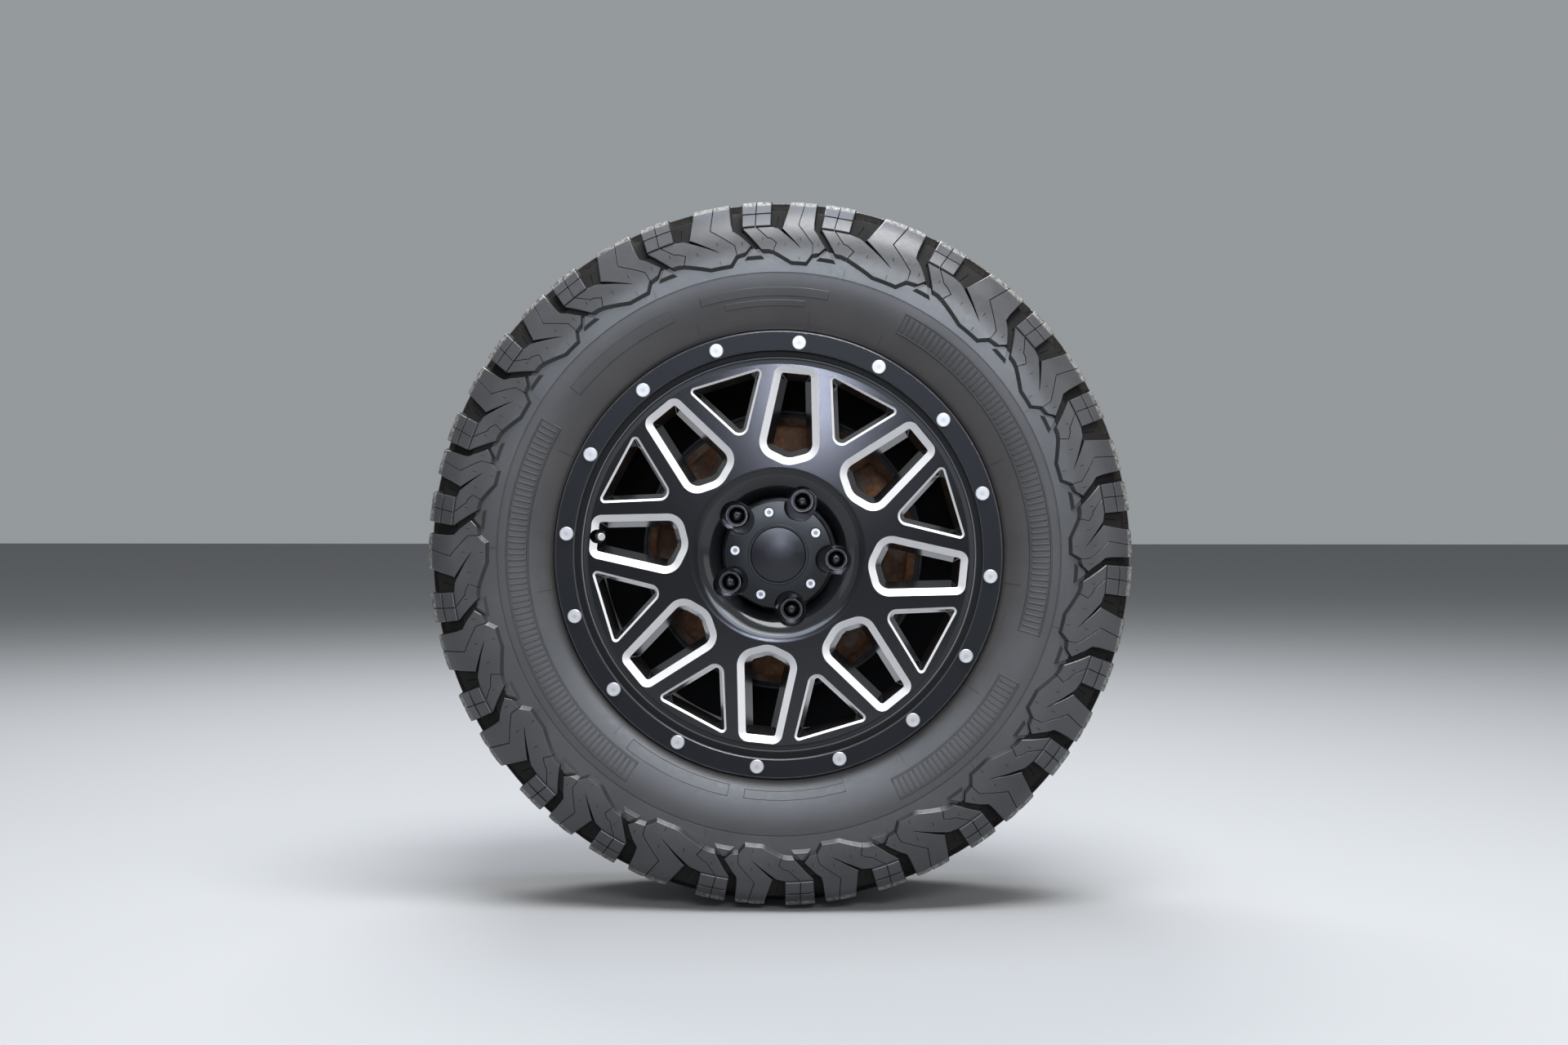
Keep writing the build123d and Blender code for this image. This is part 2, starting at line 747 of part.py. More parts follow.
# Valve: a rubber stem through the rim and its metal cap
with BuildPart() as valve_stem:
    with BuildSketch(Plane.XZ):
        with BuildLine():
            Polyline(
                (0, -valve_bulb_length),
                (valve_bulb_radius - valve_bulb_edge, -valve_bulb_length),
                (valve_bulb_radius, valve_bulb_edge - valve_bulb_length),
                (valve_bulb_radius, -valve_bulb_length / 2),
                (valve_neck_radius, valve_bulb_step - valve_bulb_length / 2),
                (valve_neck_radius, valve_taper_start),
                (valve_tip_radius, valve_length),
                (0, valve_length),
                close=True,
            )
        make_face()
    revolve(axis=Axis.Z)
valve_stem.part.location = valve_plane.location
save(valve_stem, "valve_stem")

with BuildPart() as valve_cap:
    with BuildSketch(valve_plane.offset(valve_length)):
        Circle(valve_cap_radius)
    extrude(amount=valve_cap_length)
    fillet(valve_cap.edges().filter_by(GeomType.CIRCLE).sort_by(Axis.Y)[0], valve_cap_edge)
save(valve_cap, "valve_cap")


# Brake drum: over the studs, between the hub flange and the wheel, with a lip around its open end
drum_shoulder_out = pad_out - drum_bell_step
drum_ring = [
    (hub_barrel_radius + slip_gap, drum_face_back_out),
    (hub_barrel_radius + slip_gap, pad_out),
    (drum_bell_radius, pad_out),
    (drum_bell_radius + drum_bell_step, drum_shoulder_out),
    (drum_outer_radius - drum_corner_radius, drum_shoulder_out),
    (drum_outer_radius, drum_shoulder_out - drum_corner_radius),
    (drum_outer_radius, drum_back_out + drum_lip_width + drum_lip_lead),
    (drum_outer_radius + drum_lip_lead, drum_back_out + drum_lip_width),
    (drum_lip_radius, drum_back_out + drum_lip_width),
    (drum_lip_radius, drum_back_out),
    (drum_bore_radius, drum_back_out),
    (drum_bore_radius, pad_out - drum_bore_stop),
    (drum_bore_radius - drum_bore_lead, drum_face_back_out - drum_back_step),
    (drum_bell_radius - drum_web_lead, drum_face_back_out - drum_back_step),
    (drum_bell_radius - drum_web_lead * 2, drum_face_back_out),
]
corner_bulge = drum_corner_radius * quarter_arc_rise
with BuildPart() as brake_drum:
    with BuildSketch(section):
        with BuildLine():
            Polyline(*drum_ring[:5])
            corner_middle = (drum_outer_radius - corner_bulge, drum_shoulder_out - corner_bulge)
            ThreePointArc(drum_ring[4], corner_middle, drum_ring[5])
            Polyline(*drum_ring[5:], drum_ring[0])
        make_face()
    revolve(axis=Axis.Y)
    with BuildSketch(facing(drum_face_back_out)):
        with PolarLocations(stud_centre, stud_count):
            Circle(stud_hole_radius)
    extrude(amount=drum_face_thickness, mode=Mode.SUBTRACT)
save(brake_drum, "brake_drum")


# Hub: a flange for the studs, a nose that centres drum and wheel, and a barrel on the two journals
hub_back_out = plate_out + moving_clearance * 3
inner_journal_out = hub_back_out + inner_journal_length
hub_nose_out = pad_out + hub_nose_length
with BuildPart() as wheel_hub:
    with BuildSketch(section):
        with BuildLine():
            Polyline(
                (inner_journal_radius + running_gap, hub_back_out),
                (hub_barrel_radius, hub_back_out),
                (hub_barrel_radius, hub_flange_back_out - hub_flange_root),
                (hub_barrel_radius + hub_flange_root, hub_flange_back_out),
                (hub_flange_radius, hub_flange_back_out),
                (hub_flange_radius, drum_face_back_out),
                (hub_barrel_radius, drum_face_back_out),
                (hub_barrel_radius, pad_out),
                (centre_bore_radius - slip_gap, pad_out),
                (centre_bore_radius - slip_gap, hub_nose_out - hub_nose_edge),
                (centre_bore_radius - hub_nose_edge, hub_nose_out),
                (outer_journal_radius + running_gap, hub_nose_out),
                (outer_journal_radius + running_gap, inner_journal_out),
                (inner_journal_radius + running_gap, inner_journal_out),
                close=True,
            )
        make_face()
    revolve(axis=Axis.Y)
    with BuildSketch(facing(hub_flange_back_out)):
        with PolarLocations(stud_centre, stud_count):
            Circle(stud_radius + slip_gap)
    extrude(amount=hub_flange_thickness, mode=Mode.SUBTRACT)
save(wheel_hub, "wheel_hub")


# Stub axle: the bolted flange with its spigot, and the hollow spindle that the hub runs on
spindle_end_out = hub_nose_out - moving_clearance
with BuildPart() as stub_axle:
    with BuildSketch(section):
        with BuildLine():
            Polyline(
                (shaft_bore_radius, -spigot_length),
                (spigot_radius - spigot_edge, -spigot_length),
                (spigot_radius, spigot_edge - spigot_length),
                (spigot_radius, 0),
                (stub_flange_radius, 0),
                (stub_flange_radius, stub_flange_thickness),
                (stub_shoulder_radius, stub_flange_thickness),
                (stub_shoulder_radius, hub_back_out - moving_clearance),
                (inner_journal_radius, hub_back_out - moving_clearance),
                (inner_journal_radius, inner_journal_out - moving_clearance),
                (outer_journal_radius, inner_journal_out - moving_clearance),
                (outer_journal_radius, spindle_end_out - spindle_edge),
                (outer_journal_radius - spindle_edge, spindle_end_out),
                (shaft_bore_radius, spindle_end_out),
                close=True,
            )
        make_face()
    revolve(axis=Axis.Y)
    with BuildSketch(facing(0, 0)):
        with PolarLocations(axle_bolt_circle / 2, axle_bolt_count, start_angle=30):
            Circle(axle_bolt_hole_radius)
    extrude(amount=stub_flange_thickness, mode=Mode.SUBTRACT)
save(stub_axle, "stub_axle")


# Backing plate: pressed steel on the stub flange, its edge turned out around the drum's lip
rib_out = plate_out + plate_rib_height
with BuildPart() as backing_plate:
    with BuildSketch(section):
        with BuildLine():
            Polyline(
                (stub_shoulder_radius + slip_gap, stub_flange_thickness),
                (plate_rib_inner - plate_rib_lead, stub_flange_thickness),
                (plate_rib_inner, stub_flange_thickness + plate_rib_height),
                (plate_rib_outer, stub_flange_thickness + plate_rib_height),
                (plate_rib_outer + plate_rib_lead, stub_flange_thickness),
                (plate_radius, stub_flange_thickness),
                (plate_radius, plate_out + plate_lip),
                (plate_radius - plate_thickness, plate_out + plate_lip),
                (plate_radius - plate_thickness, plate_out),
                (plate_rib_outer + plate_rib_lead, plate_out),
                (plate_rib_outer, rib_out),
                (plate_rib_inner, rib_out),
                (plate_rib_inner - plate_rib_lead, plate_out),
                (stub_shoulder_radius + slip_gap, plate_out),
                close=True,
            )
        make_face()
    revolve(axis=Axis.Y)
    with BuildSketch(facing(stub_flange_thickness, 0)):
        with PolarLocations(axle_bolt_circle / 2, axle_bolt_count, start_angle=30):
            Circle(axle_bolt_hole_radius)
        with PolarLocations(cylinder_height, 1, start_angle=90):
            Circle(cylinder_boss_radius + slip_gap)
            with Locations((0, bleed_spacing)):
                Circle(bleed_boss_radius + slip_gap)
        with PolarLocations(shoe_pin_centre, 1, start_angle=270):
            SlotOverall(plug_length, plug_width, rotation=90)
        with PolarLocations(shoe_pin_centre, 2):
            Circle(shoe_pin_radius + slip_gap)
    extrude(amount=plate_thickness + plate_rib_height, mode=Mode.SUBTRACT)
save(backing_plate, "backing_plate")


# Wheel cylinder: bolted inside the plate at the top, with its pipe boss and bleed boss through the plate
cylinder_out = plate_out + plate_rib_height + seat_gap + cylinder_radius
with BuildPart() as wheel_cylinder:
    with Locations(Location((0, -cylinder_out, cylinder_height), (0, 90, 0))):
        Cylinder(cylinder_radius, cylinder_length)
    with BuildSketch(facing(stub_flange_thickness, 0)):
        with Locations((0, cylinder_height)):
            Circle(cylinder_boss_radius)
            with Locations((-bleed_spacing, 0)):
                Circle(bleed_boss_radius)
    extrude(amount=cylinder_out - stub_flange_thickness)
    with BuildSketch(facing(stub_flange_thickness, 0)):
        with Locations((0, cylinder_height)):
            Circle(cylinder_boss_radius)
    extrude(amount=-cylinder_boss_length)
    with BuildSketch(facing(stub_flange_thickness, 0)):
        with Locations((-bleed_spacing, cylinder_height)):
            Circle(bleed_boss_radius)
    extrude(amount=-bleed_boss_length)
    with BuildSketch(facing(stub_flange_thickness - cylinder_boss_length, 0)):
        with Locations((0, cylinder_height)):
            Circle(pipe_port_radius)
    extrude(amount=pipe_port_length, mode=Mode.SUBTRACT)
    with BuildSketch(facing(stub_flange_thickness - bleed_boss_length, 0)):
        with Locations((-bleed_spacing, cylinder_height)):
            Circle(bleed_radius + slip_gap)
    extrude(amount=bleed_thread_length, mode=Mode.SUBTRACT)
save(wheel_cylinder, "wheel_cylinder")

bleed_boss_out = stub_flange_thickness - bleed_boss_length
bleed_hex_out = bleed_boss_out - bleed_hex_length
with BuildPart() as bleed_screw:
    with BuildSketch(facing(bleed_boss_out, 0)):
        with Locations((-bleed_spacing, cylinder_height)):
            Circle(bleed_radius)
    extrude(amount=bleed_thread_length - bleed_bottom_gap)
    with BuildSketch(facing(bleed_boss_out, 0)):
        with Locations((-bleed_spacing, cylinder_height)):
            RegularPolygon(bleed_hex_across / 2, 6, major_radius=False)
    extrude(amount=-bleed_hex_length)
    with BuildSketch(facing(bleed_hex_out, 0)):
        with Locations((-bleed_spacing, cylinder_height)):
            Circle(bleed_radius - bleed_tip_step)
    extrude(amount=-bleed_tip_length)
save(bleed_screw, "bleed_screw")

with BuildPart() as adjuster_plug:
    with BuildSketch(facing(stub_flange_thickness, 0)):
        with Locations((0, -shoe_pin_centre)):
            SlotOverall(plug_length + plug_flange * 2, plug_width + plug_flange * 2)
    extrude(amount=-plug_thickness)
    with BuildSketch(facing(stub_flange_thickness, 0)):
        with Locations((0, -shoe_pin_centre)):
            SlotOverall(plug_length - slip_gap * 2, plug_width - slip_gap * 2)
    extrude(amount=plate_thickness)
save(adjuster_plug, "adjuster_plug")

with BuildPart() as shoe_pins:
    with BuildSketch(facing(stub_flange_thickness, 0)):
        with PolarLocations(shoe_pin_centre, 2):
            Circle(shoe_pin_head_radius)
    extrude(amount=-shoe_pin_head_thickness)
    with BuildSketch(facing(stub_flange_thickness, 0)):
        with PolarLocations(shoe_pin_centre, 2):
            Circle(shoe_pin_radius)
    extrude(amount=shoe_pin_length)
save(shoe_pins, "shoe_pins")
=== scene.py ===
# %% [markdown]
# # An off-road wheel on its brake drum
# This lesson finishes one wheel of a tall vehicle, with the tyre, the drum behind it and the stub axle that
# it turns on. The metal pieces come ready-made from the frame at their real size. What is left to do here
# is the look: a carved rubber tyre, black paint with bright milled edges, turned screws, and rust.

# %% Load the frame
import math

import bpy
import numpy as np
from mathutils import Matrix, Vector
from mathutils.geometry import delaunay_2d_cdt


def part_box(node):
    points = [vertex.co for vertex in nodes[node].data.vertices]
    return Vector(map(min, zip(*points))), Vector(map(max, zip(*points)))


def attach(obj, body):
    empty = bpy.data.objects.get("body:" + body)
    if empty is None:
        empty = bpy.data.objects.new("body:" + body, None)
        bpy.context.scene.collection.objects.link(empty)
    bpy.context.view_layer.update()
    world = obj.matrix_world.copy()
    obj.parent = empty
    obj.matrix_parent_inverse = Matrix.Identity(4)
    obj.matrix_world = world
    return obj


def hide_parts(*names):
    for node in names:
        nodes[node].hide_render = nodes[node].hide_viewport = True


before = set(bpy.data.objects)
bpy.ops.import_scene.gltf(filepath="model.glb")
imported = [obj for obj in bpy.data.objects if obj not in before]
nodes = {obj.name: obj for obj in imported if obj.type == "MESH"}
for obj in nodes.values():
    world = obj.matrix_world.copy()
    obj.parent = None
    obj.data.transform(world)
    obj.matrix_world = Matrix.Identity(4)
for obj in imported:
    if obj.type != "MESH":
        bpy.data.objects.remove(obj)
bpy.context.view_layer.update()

# %% [markdown]
# ## The camera
# The wheel was photographed from a little right of the axle and a little above it, from about two and a
# half metres. A camera that only turns, with no shift, gives the same slight view into the barrel.
# Blender's camera looks down at first, so it is tipped up by a right angle less its small downward pitch.

# %% Place the camera
camera = bpy.data.objects.new("camera", bpy.data.cameras.new("camera"))
bpy.context.scene.collection.objects.link(camera)
camera.data.lens = 50.0
camera.data.sensor_width = 36.0
camera.location = (0.073, -2.638, 0.078)
pitch_down = math.radians(0.99)
turn_left = math.radians(1.57)
camera.rotation_euler = (math.pi / 2 - pitch_down, 0.0, turn_left)
bpy.context.scene.camera = camera
print("camera is", round(abs(camera.location.y), 2), "m in front of the axle flange")

# %% [markdown]
# ## How a finish is written
# Each finish is one shader whose plain values sit on its own sockets, with textures only where the real
# surface varies. A helper adds each node, sets or links its inputs and hands back one output, so a texture
# reads like a sum. A mask is a number that is 1 on one part of a surface and 0 on the rest.

# %% Helpers for any finish


def start_finish(name, color, metallic=0.0, roughness=0.5, specular=0.5):
    """A new finish, with its plain values on the shader's own sockets."""
    finish = bpy.data.materials.new(name)
    finish.use_nodes = True
    plain = {"Base Color": (*color, 1.0), "Metallic": metallic, "Roughness": roughness,
             "Specular IOR Level": specular}
    for socket, value in plain.items():
        finish.node_tree.nodes["Principled BSDF"].inputs[socket].default_value = value
    return finish


def add(finish, kind, inputs=None, output=0, **settings):
    """Adds a shader node, with its settings and its input values or links. Returns one of its outputs."""
    node = finish.node_tree.nodes.new("ShaderNode" + kind)
    for setting, value in settings.items():
        setattr(node, setting, value)
    for socket, value in (inputs or {}).items():
        if isinstance(value, bpy.types.NodeSocket):
            finish.node_tree.links.new(value, node.inputs[socket])
        else:
            node.inputs[socket].default_value = value
    return node.outputs[output]


def into(finish, socket, value):
    """Links a texture into the shader."""
    finish.node_tree.links.new(value, finish.node_tree.nodes["Principled BSDF"].inputs[socket])


def mixed(finish, share, first, second):
    """A colour between two others. Sockets 6 and 7 and output 2 of the node are its ones for colours."""
    first, second = (color if isinstance(color, bpy.types.NodeSocket) else (*color, 1.0)
                     for color in (first, second))
    return add(finish, "Mix", {0: share, 6: first, 7: second}, output=2, data_type="RGBA")


def layered(finish, color, *layers):
    """Links a colour into the shader, with others laid over it, each where its own mask says."""
    for mask, over in layers:
        color = mixed(finish, mask, color, over)
    into(finish, "Base Color", color)


print("helpers for colours ready")

# %% [markdown]
# ## Floor, backdrop and light
# A wheel this dark needs something pale to reflect, or its shape is lost. A soft lamp overhead does most of
# the work, and a bluish one right above the tyre lays a sheen on its upper blocks. A wide one in front
# fills like an open hall door, another lights the back, and two weak ones fill the sides. A small one far
# off is for the sheen on the upper spokes, and a wide one beside it only for the gloss of the cap and the
# lower side wall: it adds no light of its own. The world gives the rest as a glow. Their levels are set so
# that a plain grey card would come out as grey as it is. The floor looks paler than the light that it
# throws back, so that it doesn't brighten the tyre from below.

# %% Build the floor


def stage_sheet(name, corners, color, roughness, specular=0.5):
    """A flat sheet that isn't part of the object, and its finish."""
    sheet = bpy.data.objects.new(name, bpy.data.meshes.new(name))
    sheet.data.from_pydata(corners, [], [tuple(range(len(corners)))])
    bpy.context.scene.collection.objects.link(sheet)
    finish = start_finish(name, color, roughness=roughness, specular=specular)
    sheet.data.materials.append(finish)
    return sheet, finish


floor_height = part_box("tyre")[0].z
half_floor = 15.0
floor_color = (0.46, 0.47, 0.48)
bounced_color = (0.18, 0.18, 0.185)
floor_corners = [(x * half_floor, y * half_floor, floor_height)
                 for x, y in ((-1, -1), (1, -1), (1, 1), (-1, 1))]
floor_paint = stage_sheet("floor", floor_corners, floor_color, roughness=0.7, specular=0.2)[1]
layered(floor_paint, floor_color, (add(floor_paint, "LightPath", output="Is Diffuse Ray"), bounced_color))
print("floor height", round(floor_height, 4))

# %% Hang the lamps


def soft_lamp(name, place, aim, width, height, power, color=(1.0, 1.0, 1.0)):
    """A rectangular area lamp at a place, turned to face the point it is aimed at."""
    lamp = bpy.data.objects.new(name, bpy.data.lights.new(name, "AREA"))
    lamp.data.shape = "RECTANGLE"
    lamp.data.size = width
    lamp.data.size_y = height
    lamp.data.energy = power
    lamp.data.color = color
    lamp.location = place
    lamp.rotation_euler = (Vector(aim) - Vector(place)).to_track_quat("-Z", "Y").to_euler()
    bpy.context.scene.collection.objects.link(lamp)
    return lamp


wheel_face = (0.0, -0.2, 0.0)
soft_lamp("overhead", (0.5, -1.4, 3.0), (0.0, -0.15, 0.0), 2.4, 1.2, 120.0)
soft_lamp("roof_window", (0.1, -0.1, 3.3), (0.0, -0.1, 0.0), 2.4, 2.4, 60.0, (0.78, 0.86, 1.0))
soft_lamp("front_window", (0.8, -4.4, 2.1), wheel_face, 2.4, 0.8, 48.0)
soft_lamp("right_fill", (3.0, -2.2, 1.0), wheel_face, 1.6, 2.2, 14.0)
soft_lamp("left_fill", (-3.0, -2.4, 0.6), wheel_face, 1.6, 2.0, 7.0)
soft_lamp("back_window", (-0.6, 2.3, 2.8), (0.0, 0.0, 0.0), 2.2, 1.2, 85.0)
soft_lamp("small_window", (-0.06, -6.0, 0.45), (0.0, -0.2, 0.16), 0.16, 0.44, 16.0, (0.72, 0.78, 1.0))
door = soft_lamp("hall_door", (0.35, -4.9, 1.5), wheel_face, 3.4, 1.3, 130.0, (0.76, 0.87, 1.0))
door.visible_diffuse = False

# %% Set the world
world = bpy.data.worlds.new("studio")
bpy.context.scene.world = world
world.use_nodes = True
glow = world.node_tree.nodes["Background"]
glow.inputs["Color"].default_value = (0.92, 0.96, 1.0, 1.0)
glow.inputs["Strength"].default_value = 0.19
backdrop = add(world, "Background", {"Color": (0.30, 0.32, 0.33, 1.0)})
camera_ray = add(world, "LightPath", output="Is Camera Ray")
sky = add(world, "MixShader", {0: camera_ray, 1: glow.outputs["Background"], 2: backdrop})
world.node_tree.links.new(sky, world.node_tree.nodes["World Output"].inputs["Surface"])
bpy.context.scene.view_settings.view_transform = "Standard"
print("world glow", round(glow.inputs["Strength"].default_value, 2))

# %% [markdown]
# On a vehicle the space behind a wheel is dark, and here it would be the bright room. A round black card
# close behind the tyre, smaller than the tyre, stands in for that shade, as photographers do it. It only
# shows from the front, through the windows: its back is clear, and the lamps shine through it.

# %% Stand a black card behind the wheel
card_radius = 0.25
card_gap = 0.006
card_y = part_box("tyre")[1].y + card_gap
card_angles = [math.radians(angle) for angle in range(0, 360, 5)]
card_ring = [(card_radius * math.cos(angle), card_y, card_radius * math.sin(angle)) for angle in card_angles]
card, card_black = stage_sheet("card", card_ring, (0.004, 0.004, 0.005), roughness=1.0)
card_nodes = card_black.node_tree.nodes
card_sides = add(card_black, "MixShader", {
    0: add(card_black, "NewGeometry", output="Backfacing"),
    1: card_nodes["Principled BSDF"].outputs["BSDF"],
    2: add(card_black, "BsdfTransparent"),
})
card_black.node_tree.links.new(card_sides, card_nodes["Material Output"].inputs["Surface"])
for ray_kind in ("diffuse", "glossy", "transmission", "shadow"):
    setattr(card, "visible_" + ray_kind, False)
print("card", round(card_y, 3), "m behind the axle flange")

# %% [markdown]
# ## The tyre's section
# A tyre is a ring whose section hardly changes, so every piece of it can be drawn flat first and rolled up
# afterwards. Two numbers place a point on the flat sheet. The station is how far it lies past the
# shoulder's corner: negative over the tread, and down the side wall the drop in radius. The height is
# measured from the outline at the block tops, along a direction that leans over from radial on the tread to
# sideways on the wall.

# %% Measure the tyre in the frame
tyre_low, tyre_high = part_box("tyre")
tyre_radius = tyre_high.z * 1000
tyre_half_width = (tyre_high.y - tyre_low.y) * 500
tyre_middle_y = (tyre_high.y + tyre_low.y) / 2
crown_drop = 6.3
shoulder_across = tyre_half_width - 33.0
shoulder_radius = tyre_radius - crown_drop
shoulder_chamfer = 8.0
wall_start_radius = shoulder_radius - shoulder_chamfer
widest_radius = tyre_radius - 82.0
print("tyre radius", round(tyre_radius, 1), "half width", round(tyre_half_width, 1), "mm")

# %% Work out its outline


def circle_through(first, middle, last):
    """Centre and radius of the circle through three points."""
    a, b, c = (complex(*point) for point in (first, middle, last))
    w = (c - a) / (b - a)
    centre = a + (b - a) * (w - abs(w) ** 2) / (2j * w.imag)
    return centre.real, centre.imag, abs(a - centre)


wall_top = (wall_start_radius, shoulder_across + shoulder_chamfer)
wall_middle = (tyre_radius - 46.0, tyre_half_width - 6.0)
wall_circle = circle_through(wall_top, wall_middle, (widest_radius, tyre_half_width))
# the first eight millimetres of station stretch over the shoulder, and beyond them it counts plain radius
side_stations = (0.0, 8.0, 83.0)
side_radii = (shoulder_radius, shoulder_radius - 10.2, shoulder_radius - 85.2)


def outline_at(station):
    """Radius and half width of the outline at the block tops."""
    crown_across = shoulder_across + np.minimum(station, 0)
    crown = tyre_radius - crown_drop * (crown_across / shoulder_across) ** 2
    radius = np.where(station < 0, crown, np.interp(station, side_stations, side_radii))
    centre_radius, centre_across, size = wall_circle
    wall = centre_across + np.sqrt(np.maximum(size ** 2 - (radius - centre_radius) ** 2, 0))
    side = np.where(radius > wall_start_radius, shoulder_across + shoulder_radius - radius, wall)
    return radius, np.where(station < 0, crown_across, side)


def raised(station, height):
    """Radius and half width of points that stand at a height above the outline."""
    radius, across = outline_at(station)
    lean = np.radians(np.interp(station, [-15, 4, 20, 37, 73], [0, 45, 58, 72, 90]))
    return radius + height * np.cos(lean), across + height * np.sin(lean)


def about_axle(radius, across, turn):
    """Points in metres, from radii and distances across in mm and angles round the axle in radians."""
    places = np.stack(np.broadcast_arrays(radius * np.cos(turn), -across, radius * np.sin(turn)), axis=-1)
    return places.reshape(-1, 3) / 1000 + (0, tyre_middle_y, 0)


def turned_over(places):
    """The same points on the tyre's other side: half a turn about the line that runs fore and aft."""
    return places * (1, -1, -1) + (0, 2 * tyre_middle_y, 0)


def casing_height(station):
    """How far the rubber between the blocks lies below the outline."""
    stations = [-8, 4, 12, 27, 34, 40, 45, 67, 75]
    return np.interp(station, stations, [-11.5, -10.5, -9, -8, -6.5, -4.6, -4.2, -4, -3.6])


print("outline at the widest point", [round(float(value), 1) for value in outline_at(np.array(73.5))])

# %% [markdown]
# ## Tread blocks
# The blocks could be cut out of a solid ring with hundreds of cutters, which is slow and leaves poor faces.
# Here each block is drawn once on the flat sheet and raised as a closed prism: a foot ring in the casing, a
# ring just below the top, and the top itself set in a little, which gives every edge a small bevel that
# catches the light. Each side of a block has its own manner: an upright wall, a thin cut through the
# rubber, or a slope.

# %% Offset an outline side by side


def signed_area(points):
    """Positive for an outline that runs counter-clockwise."""
    x, y = points[:, 0], points[:, 1]
    return 0.5 * float(np.sum(x * np.roll(y, -1) - np.roll(x, -1) * y))


nearly_straight = 0.15
longest_corner = 2.2


def grown(points, distances):
    """The outline with each side moved outwards by its own distance, corners kept sharp but not long."""
    sides = np.roll(points, -1, axis=0) - points
    sides = sides / np.linalg.norm(sides, axis=1)[:, None]
    normals = np.column_stack([sides[:, 1], -sides[:, 0]])
    moved = np.empty_like(points)
    for index in range(len(points)):
        before, after = normals[index - 1], normals[index]
        pair = np.array([distances[index - 1], distances[index]])
        spread = before[0] * after[1] - before[1] * after[0]
        if abs(spread) < nearly_straight:
            step = (before + after) / 2 * pair.mean()
        else:
            step = np.linalg.solve(np.array([before, after]), pair)
        longest = longest_corner * max(abs(pair).max(), 0.01)
        length = np.linalg.norm(step)
        moved[index] = points[index] + step * min(1.0, longest / max(length, 1e-9))
    return moved


print("a corner grows at most", longest_corner, "times as far as its sides")

# %% Split long sides where the outline bends
bend_stations = (0.0, 6.3, 12.5, 27.5)
longest_side = 7.0
clear_of_corner = 0.03


def split_sides(corners, manner_names):
    """Points along the outline, close enough together to follow the roll, and each new side's manner."""
    points, names = [], []
    for index, corner in enumerate(corners):
        following = corners[(index + 1) % len(corners)]
        rise = following[1] - corner[1]
        shares = [(station - corner[1]) / rise for station in bend_stations] if abs(rise) > 1e-6 else []
        shares = [share for share in shares if clear_of_corner < share < 1 - clear_of_corner]
        marks = [0.0, *sorted(shares), 1.0]
        for start, end in zip(marks, marks[1:]):
            length = np.linalg.norm(np.subtract(following, corner)) * (end - start)
            count = max(1, math.ceil(length / longest_side))
            for step in range(count):
                share = start + (end - start) * step / count
                points.append(np.array(corner) * (1 - share) + np.array(following) * share)
                names.append(manner_names[index])
    return np.array(points), names


print("sides are split at stations", bend_stations)

# %% Fill an outline with triangles
clear_of_side, clear_of_slit = 1.6, 1.2
column_share = 0.8
inside_only, merge_distance = 2, 1e-5


def inside(points, outline):
    """Which of the points lie inside a closed outline."""
    x, y = points[:, 0][:, None], points[:, 1][:, None]
    x0, y0 = outline[:, 0], outline[:, 1]
    x1, y1 = np.roll(x0, -1), np.roll(y0, -1)
    crosses = (y0 > y) != (y1 > y)
    reach = x0 + (y - y0) * (x1 - x0) / np.where(y1 == y0, 1e-9, y1 - y0)
    return (crosses & (x < reach)).sum(axis=1) % 2 == 1


def spots_between(outline, slits, spacing):
    """Points inside an outline and clear of its sides and slits, so that its face can follow the roll."""
    low, high = outline.min(axis=0), outline.max(axis=0)
    rows = sorted({*np.arange(low[1], high[1], spacing), *(s for s in bend_stations if low[1] < s < high[1])})
    spots = np.array([(x, y) for y in rows for x in np.arange(low[0], high[0], spacing * column_share)])
    keep = inside(spots, grown(outline, np.full(len(outline), -clear_of_side)))
    for slit in slits:
        keep &= ~inside(spots, grown(slit, np.full(len(slit), clear_of_slit)))
    return spots[keep]


def flat_fill(outline, slits=(), spots=()):
    """Triangles that fill an outline, less its slits, through the spots between them."""
    rings = [outline, *slits]
    points = [tuple(point) for ring in rings for point in ring] + [tuple(spot) for spot in spots]
    sides = []
    for ring in rings:
        sides += [(len(sides) + k, len(sides) + (k + 1) % len(ring)) for k in range(len(ring))]
    made = delaunay_2d_cdt([Vector(point) for point in points], sides, [], inside_only, merge_distance)
    if any(len(origins) != 1 for origins in made[3]):
        raise ValueError("an outline crosses itself or its slit")
    points = np.array(points)
    faces = [tuple(made[3][vertex][0] for vertex in face) for face in made[2]]
    middles = np.array([points[list(face)].mean(axis=0) for face in faces])
    open_to_slit = np.zeros(len(faces), dtype=bool)
    for slit in slits:
        open_to_slit |= inside(middles, slit)
    return points, [face for face, is_open in zip(faces, open_to_slit) if not is_open]


print("a filled square has", len(flat_fill(np.array([(0, 0), (1, 0), (1, 1), (0, 1)]))[1]), "triangles")

# %% Raise one block
# each side's manner: half of the gap that it leaves, the width of its bevel, and how far its foot spreads
manners = {
    "wall": (0.0, 0.7, 1.2), "cut": (0.35, 0.25, 0.0), "slope": (0.0, 0.5, 4.6), "lip": (0.0, 0.4, 0.0),
    "step": (0.0, 0.35, 0.0),
}
mm_per_degree = math.radians(1) * 360.0
deepest_bevel, slit_depth, sunk_foot = 0.9, 1.4, 1.0


